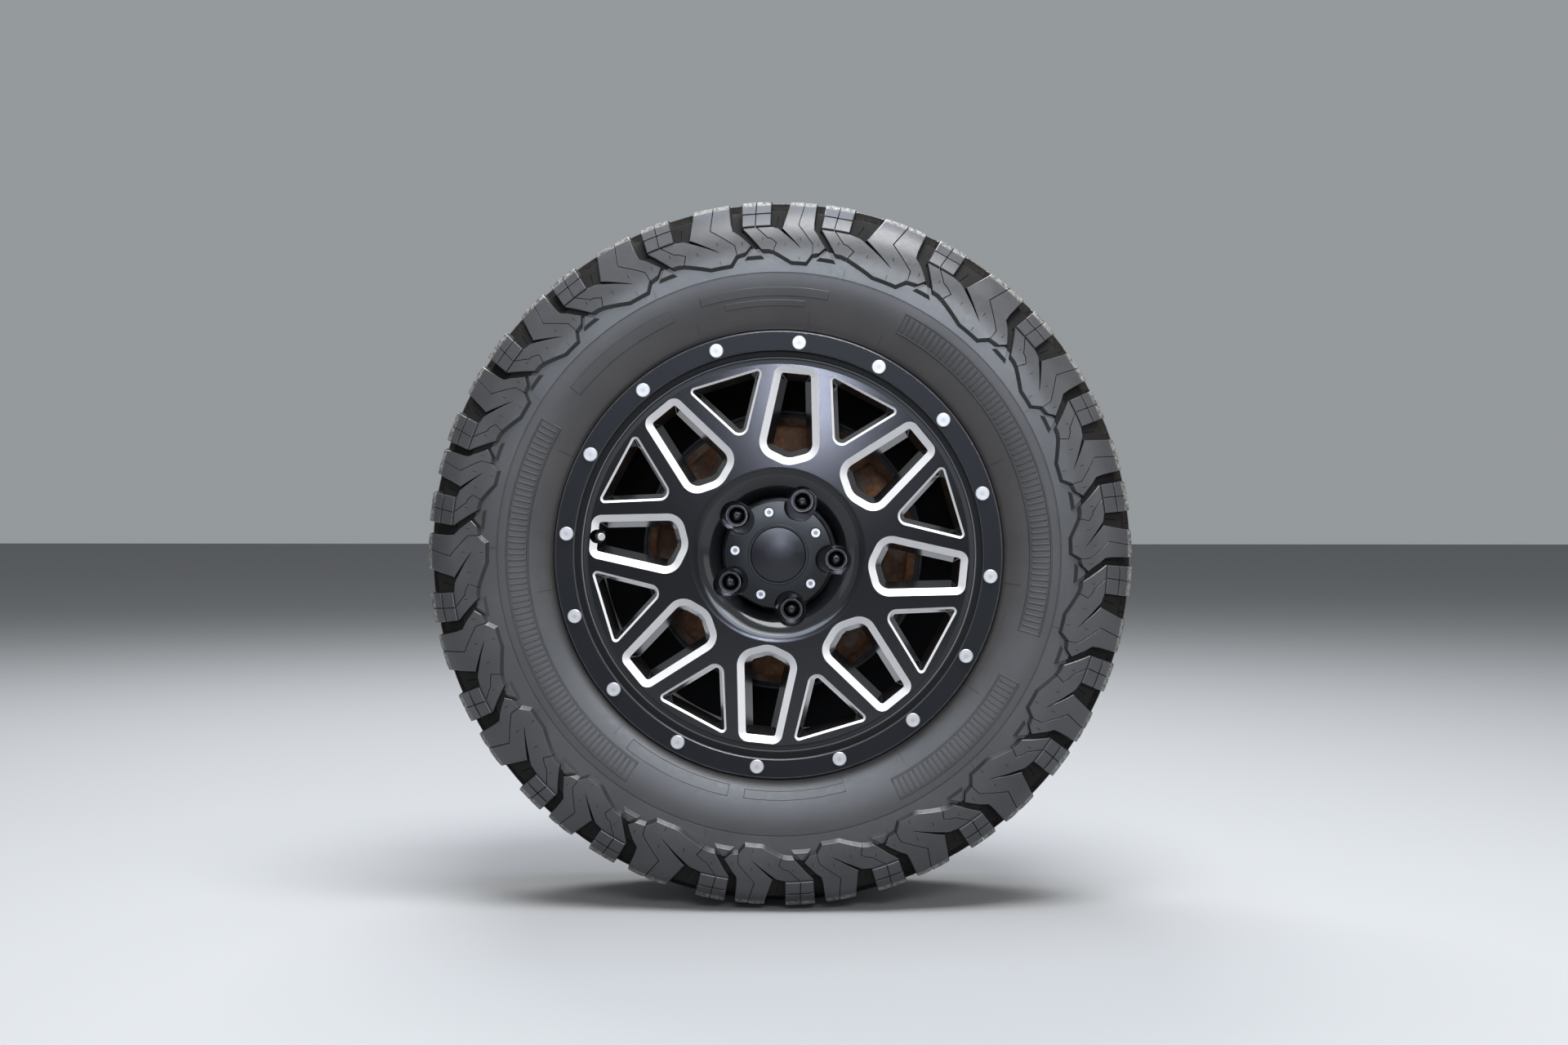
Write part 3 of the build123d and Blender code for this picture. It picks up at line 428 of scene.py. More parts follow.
def block(corners, top=0.0, slits=(), spacing=7.0):
    """One closed block: (x, station, height) points, faces, and each face's kind: 0 top, 1 painted shade, 2
    painted shade of a slope.

    corners are (degrees, station, manner). top is one height, or a list of (station, height)."""
    flat = np.array([(degrees * mm_per_degree, station) for degrees, station, _ in corners])
    manner_names = [manner for _, _, manner in corners]
    if signed_area(flat) < 0:
        flat = flat[::-1]
        manner_names = manner_names[::-1][1:] + manner_names[::-1][:1]
    outline, names = split_sides([tuple(point) for point in flat], manner_names)
    gap, bevel, spread = (np.array([manners[name][part] for name in names]) for part in range(3))
    body = grown(outline, -gap)
    rim_ring = grown(body, -bevel)
    foot_ring = grown(body, spread)
    slits = [np.array([(degrees * mm_per_degree, station) for degrees, station in slit]) for slit in slits]
    slits = [slit if signed_area(slit) > 0 else slit[::-1] for slit in slits]
    filled, top_faces = flat_fill(rim_ring, slits, spots_between(rim_ring, slits, spacing))

    def top_height(stations):
        """Height of the block's top at some stations."""
        return np.interp(stations, *zip(*top)) if isinstance(top, list) else np.full(len(stations), top)

    count = len(outline)
    slit_floor = filled[count:count + sum(len(slit) for slit in slits)]
    drop = np.minimum(np.maximum(bevel, np.roll(bevel, 1)), deepest_bevel)
    vertices = np.vstack([
        np.column_stack([filled, top_height(filled[:, 1])]),
        np.column_stack([body, top_height(body[:, 1]) - drop]),
        np.column_stack([foot_ring, casing_height(foot_ring[:, 1]) - sunk_foot]),
        np.column_stack([slit_floor, top_height(slit_floor[:, 1]) - slit_depth]),
    ])
    under = len(filled)
    faces = list(top_faces)
    kinds = [0] * len(faces)
    for k in range(count):
        nxt = (k + 1) % count
        faces.append((k, under + k, under + nxt, nxt))
        faces.append((under + k, under + count + k, under + count + nxt, under + nxt))
        # a wall or cut side wears painted shade (kind 1), and a slope a glossy painted shade (kind 2)
        kinds += [0, 2 if names[k] == "slope" else 1]
    faces += [tuple(under + count + vertex for vertex in reversed(face)) for face in flat_fill(foot_ring)[1]]
    slit_top, slit_foot = count, under + 2 * count
    for slit in slits:
        size = len(slit)
        for k in range(size):
            nxt = (k + 1) % size
            faces.append((slit_top + k, slit_top + nxt, slit_foot + nxt, slit_foot + k))
        faces.append(tuple(range(slit_foot, slit_foot + size)))
        slit_top, slit_foot = slit_top + size, slit_foot + size
    return vertices, faces, kinds + [1] * (len(faces) - len(kinds))


triangle = block([(0, 51.1, "lip"), (-1.41, 60.5, "slope"), (1.41, 60.5, "lip")], top=-0.6)
print("the small triangle has", len(triangle[0]), "points and", len(triangle[1]), "faces")

# %% [markdown]
# ## The pattern of one pitch
# A tread repeats a few shapes round the tyre. One repeat is a pitch, and the maker varies its length so
# that the tyre doesn't hum. On this one each pitch has a square upper block that stands proud of a lower
# plateau, a long lug that sweeps down into the same plateau, thin cuts through both, and the small raised
# triangle above where two pitches meet. All of it is drawn in degrees from the triangle's tip and
# millimetres of station.

# %% Helpers for drawing blocks
cut_low = [(0.6, 24.0), (0.78, 28.5), (2.66, 40.7), (3.28, 41.4), (4.53, 46.3), (4.06, 52.3)]
cut_long = [(11.1, -40.0), (10.94, 0.7), (9.84, 25.2), (13.75, 46.3), (13.95, 57.4)]


def along(points, manner):
    """The same points, each with its side's manner."""
    return [(degrees, station, manner) for degrees, station in points]


dash_width = 0.1


def dash(degrees, station, length, lean=0.0):
    """A short slit down a block's face."""
    return [(degrees, station), (degrees + dash_width, station),
            (degrees + dash_width + lean, station + length), (degrees + lean, station + length)]


def in_shade(raised):
    """The same block with all of its faces in painted shade, so that it wears the grooves' darker rubber."""
    points, faces, _ = raised
    return points, faces, [1] * len(faces)


print("dashes are", round(dash_width * mm_per_degree, 2), "mm wide")

# %% Draw the shoulder blocks
band_height = [(-6.0, 0.0), (6.3, 1.0), (12.5, 2.0)]
panel_height = [(12.5, 0.7), (27.5, 2.3)]
band_left = block([
    (-1.4, -34.0, "wall"), (1.1, -36.0, "cut"), (0.94, 0.0, "cut"), (0.75, 12.5, "step"),
    (-1.58, 12.5, "wall"), (-1.47, 0.0, "wall"),
], band_height)
band_right = block([
    (1.1, -36.0, "wall"), (3.4, -34.0, "wall"), (3.34, 0.0, "wall"), (3.29, 12.5, "step"),
    (0.75, 12.5, "cut"), (0.94, 0.0, "cut"),
], band_height)
panel_left = block([
    (-1.58, 12.4, "lip"), (0.75, 12.4, "cut"), (0.53, 27.5, "wall"), (-1.72, 27.5, "wall"),
], panel_height)
panel_right = block([
    (0.75, 12.4, "lip"), (3.29, 12.4, "wall"), (3.22, 27.5, "wall"), (0.53, 27.5, "cut"),
], panel_height)
plateau_left = block(
    along(cut_low, "cut") + along([(3.84, 55.6), (2.81, 53.8)], "slope")
    + along([(1.41, 53.5), (-1.72, 28.5), (-1.65, 24.0)], "wall"),
    slits=[dash(1.72, 39.5, 3.6, -0.05)],
)
plateau_main = block(
    along(cut_low, "cut")
    + along([(3.84, 55.6), (4.22, 56.3), (8.59, 67.1), (12.5, 67.1), (13.75, 57.9)], "slope")
    + along(cut_long[:0:-1], "cut")
    + along([(11.1, -40.0), (7.7, -38.0), (7.66, 0.7), (7.5, 3.7), (6.09, 28.0)], "wall")
    + along([(5.9, 29.6), (10.94, 52.3)], "lip")
    + along([(4.91, 29.6), (4.3, 29.0), (3.3, 27.6), (3.15, 24.0)], "wall"),
    slits=[dash(6.7, 46.0, 4.2), dash(10.6, 39.6, 4.2), dash(10.6, 60.6, 4.6)],
)
lug_right = block(
    along(cut_long[:-1], "cut") + along(cut_long[-1:], "slope")
    + along([(15.78, 55.3), (16.72, 48.5), (14.84, 35.5), (13.75, 29.5), (13.59, 21.8), (13.59, 0.7),
             (13.6, -38.0)], "wall"),
    slits=[dash(15.1, 43.5, 4.5)],
)
groove_floor = in_shade(block(
    along([(2.6, 5.5), (8.3, 5.5), (7.2, 31.0), (2.6, 31.0)], "wall"),
    top=-4.6, slits=[[(5.0, 12.5), (5.14, 12.5), (4.6, 25.2), (4.46, 25.2)]],
))
groove_saddle = in_shade(block(
    along([(13.2, 31.0), (15.3, 31.0), (16.9, 31.0), (18.9, 52.0), (17.4, 52.0), (16.0, 50.0)], "wall"),
    top=-3.8,
))
shoulder_blocks = [band_left, band_right, panel_left, panel_right, plateau_left, plateau_main, lug_right,
                   triangle, groove_floor, groove_saddle]
print("shoulder blocks in a pitch:", len(shoulder_blocks))

# %% [markdown]
# The middle of the tread isn't seen from the side, so its blocks follow what such tyres usually have: two
# rows of stepped blocks that interlock with a middle row, each parted by one bent cut. A block here is
# drawn by its distance across the tread from the centre line, which is a station counted from the
# shoulder's corner.

# %% Draw the middle rows
half_pitch = 8.6


def middle_pair(outline, cut, turned=False, shift=0.0):
    """Both halves of one middle block, parted by its bent cut. Corners are (degrees, distance across)."""
    start, end = outline.index(cut[0]), outline.index(cut[-1])
    halves = []
    for ring, parting in ((outline[start:end + 1], cut[::-1]), (outline[end:] + outline[:start + 1], cut)):
        corners = along(ring[:-1], "wall") + along(parting[:-1], "cut")
        if turned:
            corners = [(2 * half_pitch - degrees, -across, manner) for degrees, across, manner in corners]
        halves.append(block([(degrees + shift, across - shoulder_across, manner)
                             for degrees, across, manner in corners], spacing=9.0))
    return halves


claw = [(-1.6, 25.4), (2.0, 24.7), (5.6, 24.0), (6.2, 32.2), (8.1, 35.2), (7.3, 46.7), (9.7, 50.2),
        (10.3, 58.7), (6.8, 59.4), (3.2, 60.0), (2.6, 51.2), (0.2, 47.7), (1.0, 36.2), (-1.0, 33.2)]
claw_cut = [(2.0, 24.7), (2.6, 32.7), (4.6, 35.7), (3.8, 47.2), (6.2, 50.7), (6.8, 59.4)]
bone = [(0.8, -17.0), (4.4, -18.6), (7.2, -20.0), (7.8, -11.2), (10.2, -8.2), (9.3, 5.0), (11.5, 8.0),
        (12.1, 16.7), (8.7, 17.6), (5.2, 18.5), (4.4, 8.6), (2.2, 5.0), (3.0, -8.0), (0.9, -11.0)]
bone_cut = [(4.4, -18.6), (5.1, -9.6), (6.6, -7.2), (5.8, 4.5), (8.0, 7.8), (8.7, 17.6)]
middle_blocks = []
for shift in (0.0, half_pitch):
    middle_blocks += middle_pair(claw, claw_cut, shift=shift)
    middle_blocks += middle_pair(bone, bone_cut, shift=shift)
    middle_blocks += middle_pair(claw, claw_cut, turned=True, shift=shift - half_pitch)
print("middle blocks in a pitch:", len(middle_blocks))

# %% [markdown]
# ## Rolling the tread up
# The pitches' lengths were read off round the tyre. A long pitch has the same square block as a short one,
# so only what lies beyond that block is stretched. The other shoulder carries the same pattern turned by
# half a turn, as on the real tyre, which reads the same from both sides.

# %% Lay out the pitches
pitch_shares = [70, 70, 77, 73, 67, 65, 83, 65, 80, 75, 73, 59, 66, 67, 75, 75, 60, 85, 83, 69, 68, 61]
pitch_degrees = [share * 360 / sum(pitch_shares) for share in pitch_shares]
# in degrees: the first triangle's place, the drawn pitch's length, and the upper block's two sides
first_tip = 356.55
drawn_pitch = 17.19
fixed_start, fixed_end = -1.47, 3.34


def stretched(degrees, pitch):
    """An angle of the drawn pitch in a pitch of another length: the upper block keeps its size."""
    share = (pitch + fixed_start - fixed_end) / (drawn_pitch + fixed_start - fixed_end)
    beyond = fixed_end + (degrees - fixed_end) * share
    following = degrees - drawn_pitch + pitch
    beyond = np.where(degrees > drawn_pitch + fixed_start, following, beyond)
    return np.where(degrees < fixed_end, degrees, beyond)


def evenly(degrees, pitch):
    """An angle of the drawn pitch in a pitch of another length, all of it stretched alike."""
    return degrees * pitch / drawn_pitch


print("pitches:", len(pitch_degrees), "the shortest", round(min(pitch_degrees), 1), "degrees")

# %% Roll every pitch into one mesh
crease_degrees = 28


def new_piece(name, vertices, faces, kinds=None):
    """A piece of the tyre, which rides on the wheel. kinds says which of its finishes each face wears."""
    mesh = bpy.data.meshes.new(name)
    mesh.from_pydata(vertices, [], faces)
    mesh.update()
    mesh.polygons.foreach_set("use_smooth", [True] * len(mesh.polygons))
    mesh.set_sharp_from_angle(angle=math.radians(crease_degrees))
    piece = bpy.data.objects.new(name, mesh)
    bpy.context.scene.collection.objects.link(piece)
    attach(piece, "wheel")
    if kinds:
        mesh.polygons.foreach_set("material_index", kinds)
    return piece


def joined(parts):
    """The points and faces of many closed parts, as one mesh."""
    points, faces, first = [], [], 0
    for part_points, part_faces in parts:
        points.append(part_points)
        faces += [tuple(first + vertex for vertex in face) for face in part_faces]
        first += len(part_points)
    return np.vstack(points), faces


def roll_pitches(name, blocks, stretch, turned=False):
    """Every pitch's copies of the blocks, rolled round the tyre. turned puts them on the other shoulder."""
    parts, kinds, tip = [], [], first_tip
    for pitch in pitch_degrees:
        for points, faces, block_kinds in blocks:
            turn = np.radians(tip - stretch(points[:, 0] / mm_per_degree, pitch))
            places = about_axle(*raised(points[:, 1], points[:, 2]), turn)
            parts.append((turned_over(places) if turned else places, [face[::-1] for face in faces]))
            kinds += block_kinds
        tip -= pitch
    piece = new_piece(name, *joined(parts), kinds)
    print(name, "faces:", len(piece.data.polygons))
    return piece


tread_outer = roll_pitches("tread_outer", shoulder_blocks, stretched)
tread_inner = roll_pitches("tread_inner", shoulder_blocks, stretched, turned=True)
tread_middle = roll_pitches("tread_middle", middle_blocks, evenly)

# %% [markdown]
# ## The casing
# Under the blocks lies one closed ring: groove floor, side walls, beads and lining. It is turned from a
# single section, so the fine circular line near its widest point takes only four more points.

# %% Turn the casing
stations = np.array([-108, -80, -50, -25, -8, -2, 4, 12, 20, 27, 34, 40, 45, 52, 60, 67, 73])
tread_and_shoulder = list(zip(*raised(stations, casing_height(stations))))
seam = 313.0
wall_and_bead = [
    (316.0, 137.6), (seam + 0.9, 137.7), (seam + 0.4, 136.9), (seam - 0.4, 136.9), (seam - 0.9, 137.6),
    (306.0, 137.5), (296.0, 136.8), (286.0, 135.5), (276.0, 133.7), (268.0, 131.9), (261.0, 130.0),
    (255.0, 127.8), (251.5, 125.6), (249.9, 122.6), (249.9, 114.0), (231.3, 114.0), (231.3, 98.0),
]
lining = [(247.3, 98.0), (262.0, 113.0), (290.0, 127.0), (319.0, 130.0), (351.0, 122.0), (370.0, 95.0),
          (378.0, 50.0)]
half_section = tread_and_shoulder + wall_and_bead + lining
section = half_section + [(378.3, 0.0)] + [(radius, -across) for radius, across in reversed(half_section[1:])]
groove_start_radius = 345.0
steps_round_tyre = 264


def quads(grid):
    """Faces between the neighbours in a grid of point numbers."""
    corners = [grid[:-1, :-1], grid[:-1, 1:], grid[1:, 1:], grid[1:, :-1]]
    return np.stack(corners, axis=-1).reshape(-1, 4).tolist()


radius, across = np.array(section).T
turn = np.linspace(0, 2 * np.pi, steps_round_tyre, endpoint=False)[:, None]
grid = np.arange(steps_round_tyre * len(section)).reshape(steps_round_tyre, -1)
ring_faces = [face[::-1] for face in quads(np.pad(grid, ((0, 1), (0, 1)), mode="wrap"))]
# the groove floor between the blocks wears the rubber with painted shade
in_groove = (np.minimum(radius, np.roll(radius, -1)) > groove_start_radius).astype(int)
ring_kinds = np.tile(in_groove, steps_round_tyre).tolist()
casing = new_piece("tyre_casing", about_axle(radius, across, turn), ring_faces, ring_kinds)
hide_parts("tyre")
print("casing section points:", len(section), "faces:", len(casing.data.polygons))

# %% [markdown]
# ## Marks on the side walls
# A side wall carries moulded marks: fine radial lines where the mould's parts met, and raised bands. The
# bands here are plain serrations inside a thin frame, and a few small bare plates, which are usual on any
# tyre. Each is a thin closed patch that follows the wall, a millimetre high at most, so it shows where
# light grazes it.

# %% Raise a patch on the wall
wall_points = tread_and_shoulder[12:] + wall_and_bead[:-3]
wall_radii, wall_across = np.array(sorted(wall_points)).T
sunk_patch = 0.6


def raised_patch(radii, degrees, height, flare=1.2):
    """A closed patch on the outboard wall, raised by a height in mm. Its foot is wider by flare all round."""
    layers = []
    for lift, reach in ((height, 0.0), (-sunk_patch, flare)):
        out, turn = np.meshgrid(np.asarray(radii, dtype=float), np.radians(degrees), indexing="ij")
        out[0] -= reach
        out[-1] += reach
        turn[:, 0] += reach / out[:, 0]
        turn[:, -1] -= reach / out[:, -1]
        layers.append(about_axle(out, np.interp(out, wall_radii, wall_across) + lift, turn))
    under = len(layers[0])
    grid = np.arange(under).reshape(len(radii), -1)
    edge = [*grid[0], *grid[1:, -1], *grid[-1, -2::-1], *grid[-2:0:-1, 0]]
    faces = quads(grid) + [face[::-1] for face in quads(grid + under)]
    faces += [(following, here, under + here, under + following)
              for here, following in zip(edge, edge[1:] + edge[:1])]
    return np.vstack(layers), faces


print("a patch's foot is sunk by", sunk_patch, "mm")

# %% Lay out the marks
arc_step = 1.5
frame_width, frame_height, end_height = 0.9, 1.0, 0.95
rib_inset, rib_height = 3.5, 0.9
rib_pitch, half_rib, end_width = 1.3, 0.12, 0.2
first_rib, last_rib = 1.2, 0.8


def arc(start, end):
    """Angles from start down to end, close enough together to look round."""
    return np.linspace(start, end, max(2, math.ceil(abs(start - end) / arc_step) + 1))


def serrated_band(start, end, inner, outer):
    """A frame of thin ribs round a band, with short radial ribs inside it."""
    patches = [raised_patch([inner, inner + frame_width], arc(start, end), frame_height),
               raised_patch([outer - frame_width, outer], arc(start, end), frame_height)]
    for place in (start, end):
        patches.append(raised_patch([inner, outer], [place, place - end_width], end_height))
    rib_radii = [inner + rib_inset, outer - rib_inset]
    for place in np.arange(end + first_rib, start - last_rib, rib_pitch):
        patches.append(raised_patch(rib_radii, [place + half_rib, place - half_rib], rib_height))
    return patches


# bands and plates: the angles where each starts and ends, and the plates' two radii
bands = ((236, 150), (62, -17), (-28, -63))
band_radii = (279.0, 303.0)
plates = ((107, 79, 288, 297), (102, 84, 277, 283), (141, 114, 283, 296), (-74, -98, 264, 273),
          (-102, -128, 262, 274))
# radial lines: their angles, their radii, and half of each one's angle
upper_lines = (345.7, 312.9, 255.4, 212.9, 178.4, 146.7, 115.2, 76.8, 30.1)
lower_lines = (353.1, 325.5, 301.4, 286.0, 227.4, 188.7, 154.3, 109.4, 82.5, 64.6, 23.2)
lines = ((upper_lines, [313.8, 318.0, 324.0], 0.06), (lower_lines, [253.0, 258.0, 264.0, 271.0], 0.07))
low_height, line_flare = 0.6, 0.3

marks = []
for start, end in bands:
    marks += serrated_band(start, end, *band_radii)
for start, end, inner, outer in plates:
    marks.append(raised_patch(np.linspace(inner, outer, 4), arc(start, end), low_height))
for angles, radii, half_line in lines:
    for degrees in angles:
        marks.append(raised_patch(radii, [degrees + half_line, degrees - half_line], low_height, line_flare))

wall_marks_outer = new_piece("wall_marks_outer", *joined(marks))
marks_turned_over = [(turned_over(points), faces) for points, faces in marks]
wall_marks_inner = new_piece("wall_marks_inner", *joined(marks_turned_over))
print("marks on a wall:", len(marks))

# %% [markdown]
# ## Finishes
# Textures are placed by the piece's own coordinates, which are metres here, so a scale is one over the size
# of a speck. They could be painted on instead, but these stay sharp at any size. The wheel turns about its
# axle, so most patterns are worked out from the distance to the axle.

# %% Helpers for textures


def own_place(finish):
    """The piece's own coordinates, in metres."""
    return add(finish, "TexCoord", output="Object")


def axle_distance(finish):
    """Distance from the axle's line, in metres."""
    flat = add(finish, "VectorMath", {0: own_place(finish), 1: (1.0, 0.0, 1.0)}, operation="MULTIPLY")
    return add(finish, "VectorMath", {0: flat}, output="Value", operation="LENGTH")


def math_of(finish, operation, *values):
    """One arithmetic step."""
    return add(finish, "Math", dict(enumerate(values)), operation=operation)


def product(finish, *values):
    """All of the values multiplied. Of masks, that leaves the part that they share."""
    total = values[0]
    for value in values[1:]:
        total = math_of(finish, "MULTIPLY", total, value)
    return total


def between(finish, value, low, high, to_low=0.0, to_high=1.0):
    """The value's place between low and high, held within the two ends."""
    return add(finish, "MapRange", {0: value, 1: low, 2: high, 3: to_low, 4: to_high})


def speckle(finish, size, detail=4.0, roughness=0.6):
    """Cloudy noise with specks of about this size in metres."""
    return add(finish, "TexNoise", {"Vector": own_place(finish), "Scale": 1 / size, "Detail": detail,
                                    "Roughness": roughness})


def relief(finish, height, depth, strength=1.0):
    """Bump of a depth in metres from a height between 0 and 1, linked into the shader."""
    into(finish, "Normal", add(finish, "Bump", {"Height": height, "Distance": depth, "Strength": strength}))


def wear(piece, *finishes):
    """Puts finishes into a piece's material slots.

    A new piece has none yet, and clearing those would make each face forget which one it wears."""
    if piece.data.materials:
        piece.data.materials.clear()
    for finish in finishes:
        piece.data.materials.append(finish)


print("helpers for textures ready")

# %% [markdown]
# Tyre rubber isn't black. It is a dark grey that dust makes paler: a little on the blocks, and most on the
# tread's outer corner, which has rubbed on a dry floor. The mask for that is only the distance from the
# axle, broken up by noise so that no line shows. Between the blocks the rubber is painted darker and matt,
# as painted shade for the deep grooves, and the slopes at the blocks' feet are painted dark but glossy, as
# painted shade for faces that turn from the light. So there are three finishes for the three kinds of face.

# %% Tyre rubber
# distances from the axle, in metres
blocks_start = (0.3122, 0.3135)
corner_start, corner_end = (0.3893, 0.3912), (0.3945, 0.3965)


def rubber_finish(name, wall_tones, block_tones, dust_tone, gloss, sheen):
    """Rubber that is warm on the side wall, cool on the blocks and dusty on the tread."""
    rubber = start_finish(name, block_tones[0], roughness=gloss, specular=sheen)
    distance = axle_distance(rubber)
    cloud = between(rubber, speckle(rubber, 0.07, detail=6.0), 0.3, 0.7)
    grit = speckle(rubber, 0.004, detail=6.0)
    dusty_corner = product(rubber, between(rubber, distance, *corner_start),
                           between(rubber, distance, *corner_end, 1.0, 0.32))
    dust = product(rubber, dusty_corner, between(rubber, grit, 0.36, 0.66))
    layered(rubber, mixed(rubber, cloud, *wall_tones),
            (between(rubber, distance, *blocks_start), mixed(rubber, cloud, *block_tones)),
            (dust, dust_tone))
    into(rubber, "Roughness", between(rubber, grit, 0.25, 0.75, gloss - 0.06, gloss + 0.08))
    relief(rubber, speckle(rubber, 0.0012, detail=3.0), 0.0002, 0.3)
    return rubber


pale_dust, brown_dust = (0.4, 0.39, 0.36), (0.05, 0.042, 0.032)
rubber = rubber_finish("tyre_rubber", ((0.042, 0.040, 0.040), (0.058, 0.055, 0.055)),
                       ((0.062, 0.063, 0.068), (0.087, 0.088, 0.094)), pale_dust, 0.32, 0.5)
# painted shade: a darker, matt rubber for the faces between the blocks
groove_painted_shade = rubber_finish("groove_painted_shade", ((0.020, 0.019, 0.019), (0.028, 0.027, 0.026)),
                              ((0.014, 0.014, 0.014), (0.027, 0.026, 0.025)), brown_dust, 0.8, 0.12)
# painted shade: a darker but glossy rubber for the slopes at the blocks' feet
slope_painted_shade = rubber_finish("slope_painted_shade", ((0.024, 0.023, 0.023), (0.034, 0.032, 0.032)),
                             ((0.018, 0.018, 0.019), (0.028, 0.028, 0.029)), brown_dust, 0.34, 0.45)
for piece in (tread_outer, tread_inner):
    wear(piece, rubber, groove_painted_shade, slope_painted_shade)
for piece in (tread_middle, casing):
    wear(piece, rubber, groove_painted_shade)
for piece in (wall_marks_outer, wall_marks_inner):
    wear(piece, rubber)
in_shade_count = sum(face.material_index == 1 for face in tread_outer.data.polygons)
print("faces in shade on the outer tread:", in_shade_count)

# %% [markdown]
# The wheel is painted satin black, and afterwards the edges of its windows and triangles were milled
# bright. Only those edges slope: the face looks straight out and the walls look sideways. So the mask asks
# for a slope in between, close behind the face, and outside the bowl's rounded edge. The groove round the
# face and the step of the lip ring are matt and painted darker, as painted shade, for little light gets into
# them. The lip ring's two narrow edges and the groove's outer edge carry thin pale lines of painted
# highlight. The flat floor of the bowl, where the cap sits, is painted a little paler than the rest, as a
# painted reflection that lifts its shade.

# %% Helpers for masks


def own_axis(finish, axis):
    """One of the piece's own coordinates."""
    return add(finish, "SeparateXYZ", {0: own_place(finish)}, output=axis)


def above(finish, value, limit):
    """A mask of where the value is above a limit."""
    return math_of(finish, "GREATER_THAN", value, limit)


def below(finish, value, limit):
    """A mask of where the value is below a limit."""
    return math_of(finish, "LESS_THAN", value, limit)


def within(finish, value, low, high):
    """A mask of where the value lies from low to high."""
    return product(finish, above(finish, value, low), below(finish, value, high))


print("helpers for masks ready")

# %% Black paint with milled edges
# distances from the axle, and how far back along it the milling goes, in metres
bowl_floor_radius, bowl_radius, face_radius = 0.09, 0.0985, 0.2125
groove_start, groove_end, ridge_end = 0.2128, 0.2192, 0.2203
milled_back = -0.2058
milled_slopes, floor_slope = (0.55, 0.95), 0.8
# the second tone is painted shade, for the groove round the face and the lip ring's step
paint_tone, painted_shade_tone, milled_tone = (0.012, 0.0125, 0.0145), (0.002, 0.002, 0.0025), (0.9, 0.9, 0.91)
# the first tone is a painted reflection on the bowl's floor, the second a painted highlight on the ridge
bowl_painted_reflection, ridge_painted_highlight = (0.026, 0.028, 0.031), (0.18, 0.18, 0.19)
milled_metal, matt_gain = 0.3, 0.3

alloy = start_finish("black_alloy", paint_tone, roughness=0.22, specular=0.38)
slope = add(alloy, "SeparateXYZ", {0: add(alloy, "TexCoord", output="Normal")}, output="Y")
slope = math_of(alloy, "ABSOLUTE", slope)
distance = axle_distance(alloy)
milled = product(alloy, within(alloy, distance, bowl_radius, face_radius),
                 within(alloy, slope, *milled_slopes), below(alloy, own_axis(alloy, "Y"), milled_back))
# painted reflection: the bowl's flat floor is painted paler
bowl_floor = product(alloy, below(alloy, distance, bowl_floor_radius), above(alloy, slope, floor_slope))
# painted shade: the groove round the face is painted darker
groove = within(alloy, distance, groove_start, groove_end)
# painted highlight: a thin pale line on the groove's outer edge
ridge_highlight_mask = within(alloy, distance, groove_end, ridge_end)
layered(alloy, paint_tone, (groove, painted_shade_tone), (bowl_floor, bowl_painted_reflection), (ridge_highlight_mask, ridge_painted_highlight),
        (milled, milled_tone))
into(alloy, "Metallic", product(alloy, milled, milled_metal))
peel = speckle(alloy, 0.0025, detail=2.0)
matt = math_of(alloy, "MAXIMUM", milled, above(alloy, distance, groove_start))
gloss = between(alloy, peel, 0.2, 0.8, 0.11, 0.15)
into(alloy, "Roughness", math_of(alloy, "ADD", gloss, product(alloy, matt, matt_gain)))
relief(alloy, peel, 0.00002, 0.12)
wear(nodes["rim"], alloy)
print("black paint, milled between radii", bowl_radius, "and", face_radius)

# %% The lip ring
step_radius, inner_edge_radius = 0.2276, 0.2286
outer_edge_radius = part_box("lip_ring")[1].z - 0.0013
# the ring's two narrow edges get a pale metallic tone: a painted highlight
ring_tone, edge_painted_highlight = (0.007, 0.008, 0.0115), (0.2, 0.2, 0.21)
inner_share, edge_highlight_metal = 0.5, 0.75
step_gain, edge_loss = 0.2, 0.15
ring = start_finish("black_ring", ring_tone, roughness=0.36, specular=0.17)
distance = axle_distance(ring)
# painted shade: the lip ring's step is painted darker
step = below(ring, distance, step_radius)
inner_painted_highlight = product(ring, within(ring, distance, step_radius, inner_edge_radius), inner_share)
edge = math_of(ring, "MAXIMUM", inner_painted_highlight, above(ring, distance, outer_edge_radius))
layered(ring, ring_tone, (step, painted_shade_tone), (edge, edge_painted_highlight))
into(ring, "Metallic", product(ring, edge, edge_highlight_metal))
gloss = between(ring, speckle(ring, 0.003), 0.2, 0.8, 0.33, 0.41)
gloss = math_of(ring, "ADD", gloss, product(ring, step, step_gain))
into(ring, "Roughness", math_of(ring, "SUBTRACT", gloss, product(ring, edge, edge_loss)))
relief(ring, speckle(ring, 0.0006, detail=2.0), 0.00002, 0.5)
wear(nodes["lip_ring"], ring)
# the pale line on the ring's outer edge is a painted highlight
print("ring's highlighted outer edge from radius", round(outer_edge_radius, 4))

# %% The cap and its disc


def uneven_gloss(finish, size, smooth, rough):
    """Links a roughness into the shader that varies in specks of about this size in metres."""
    into(finish, "Roughness", between(finish, speckle(finish, size), 0.2, 0.8, smooth, rough))


black_plastic = start_finish("black_plastic", (0.005, 0.0068, 0.0078), roughness=0.3, specular=0.32)
uneven_gloss(black_plastic, 0.002, 0.26, 0.33)
relief(black_plastic, speckle(black_plastic, 0.0008, detail=2.0), 0.00003, 0.4)
wear(nodes["centre_cap"], black_plastic)

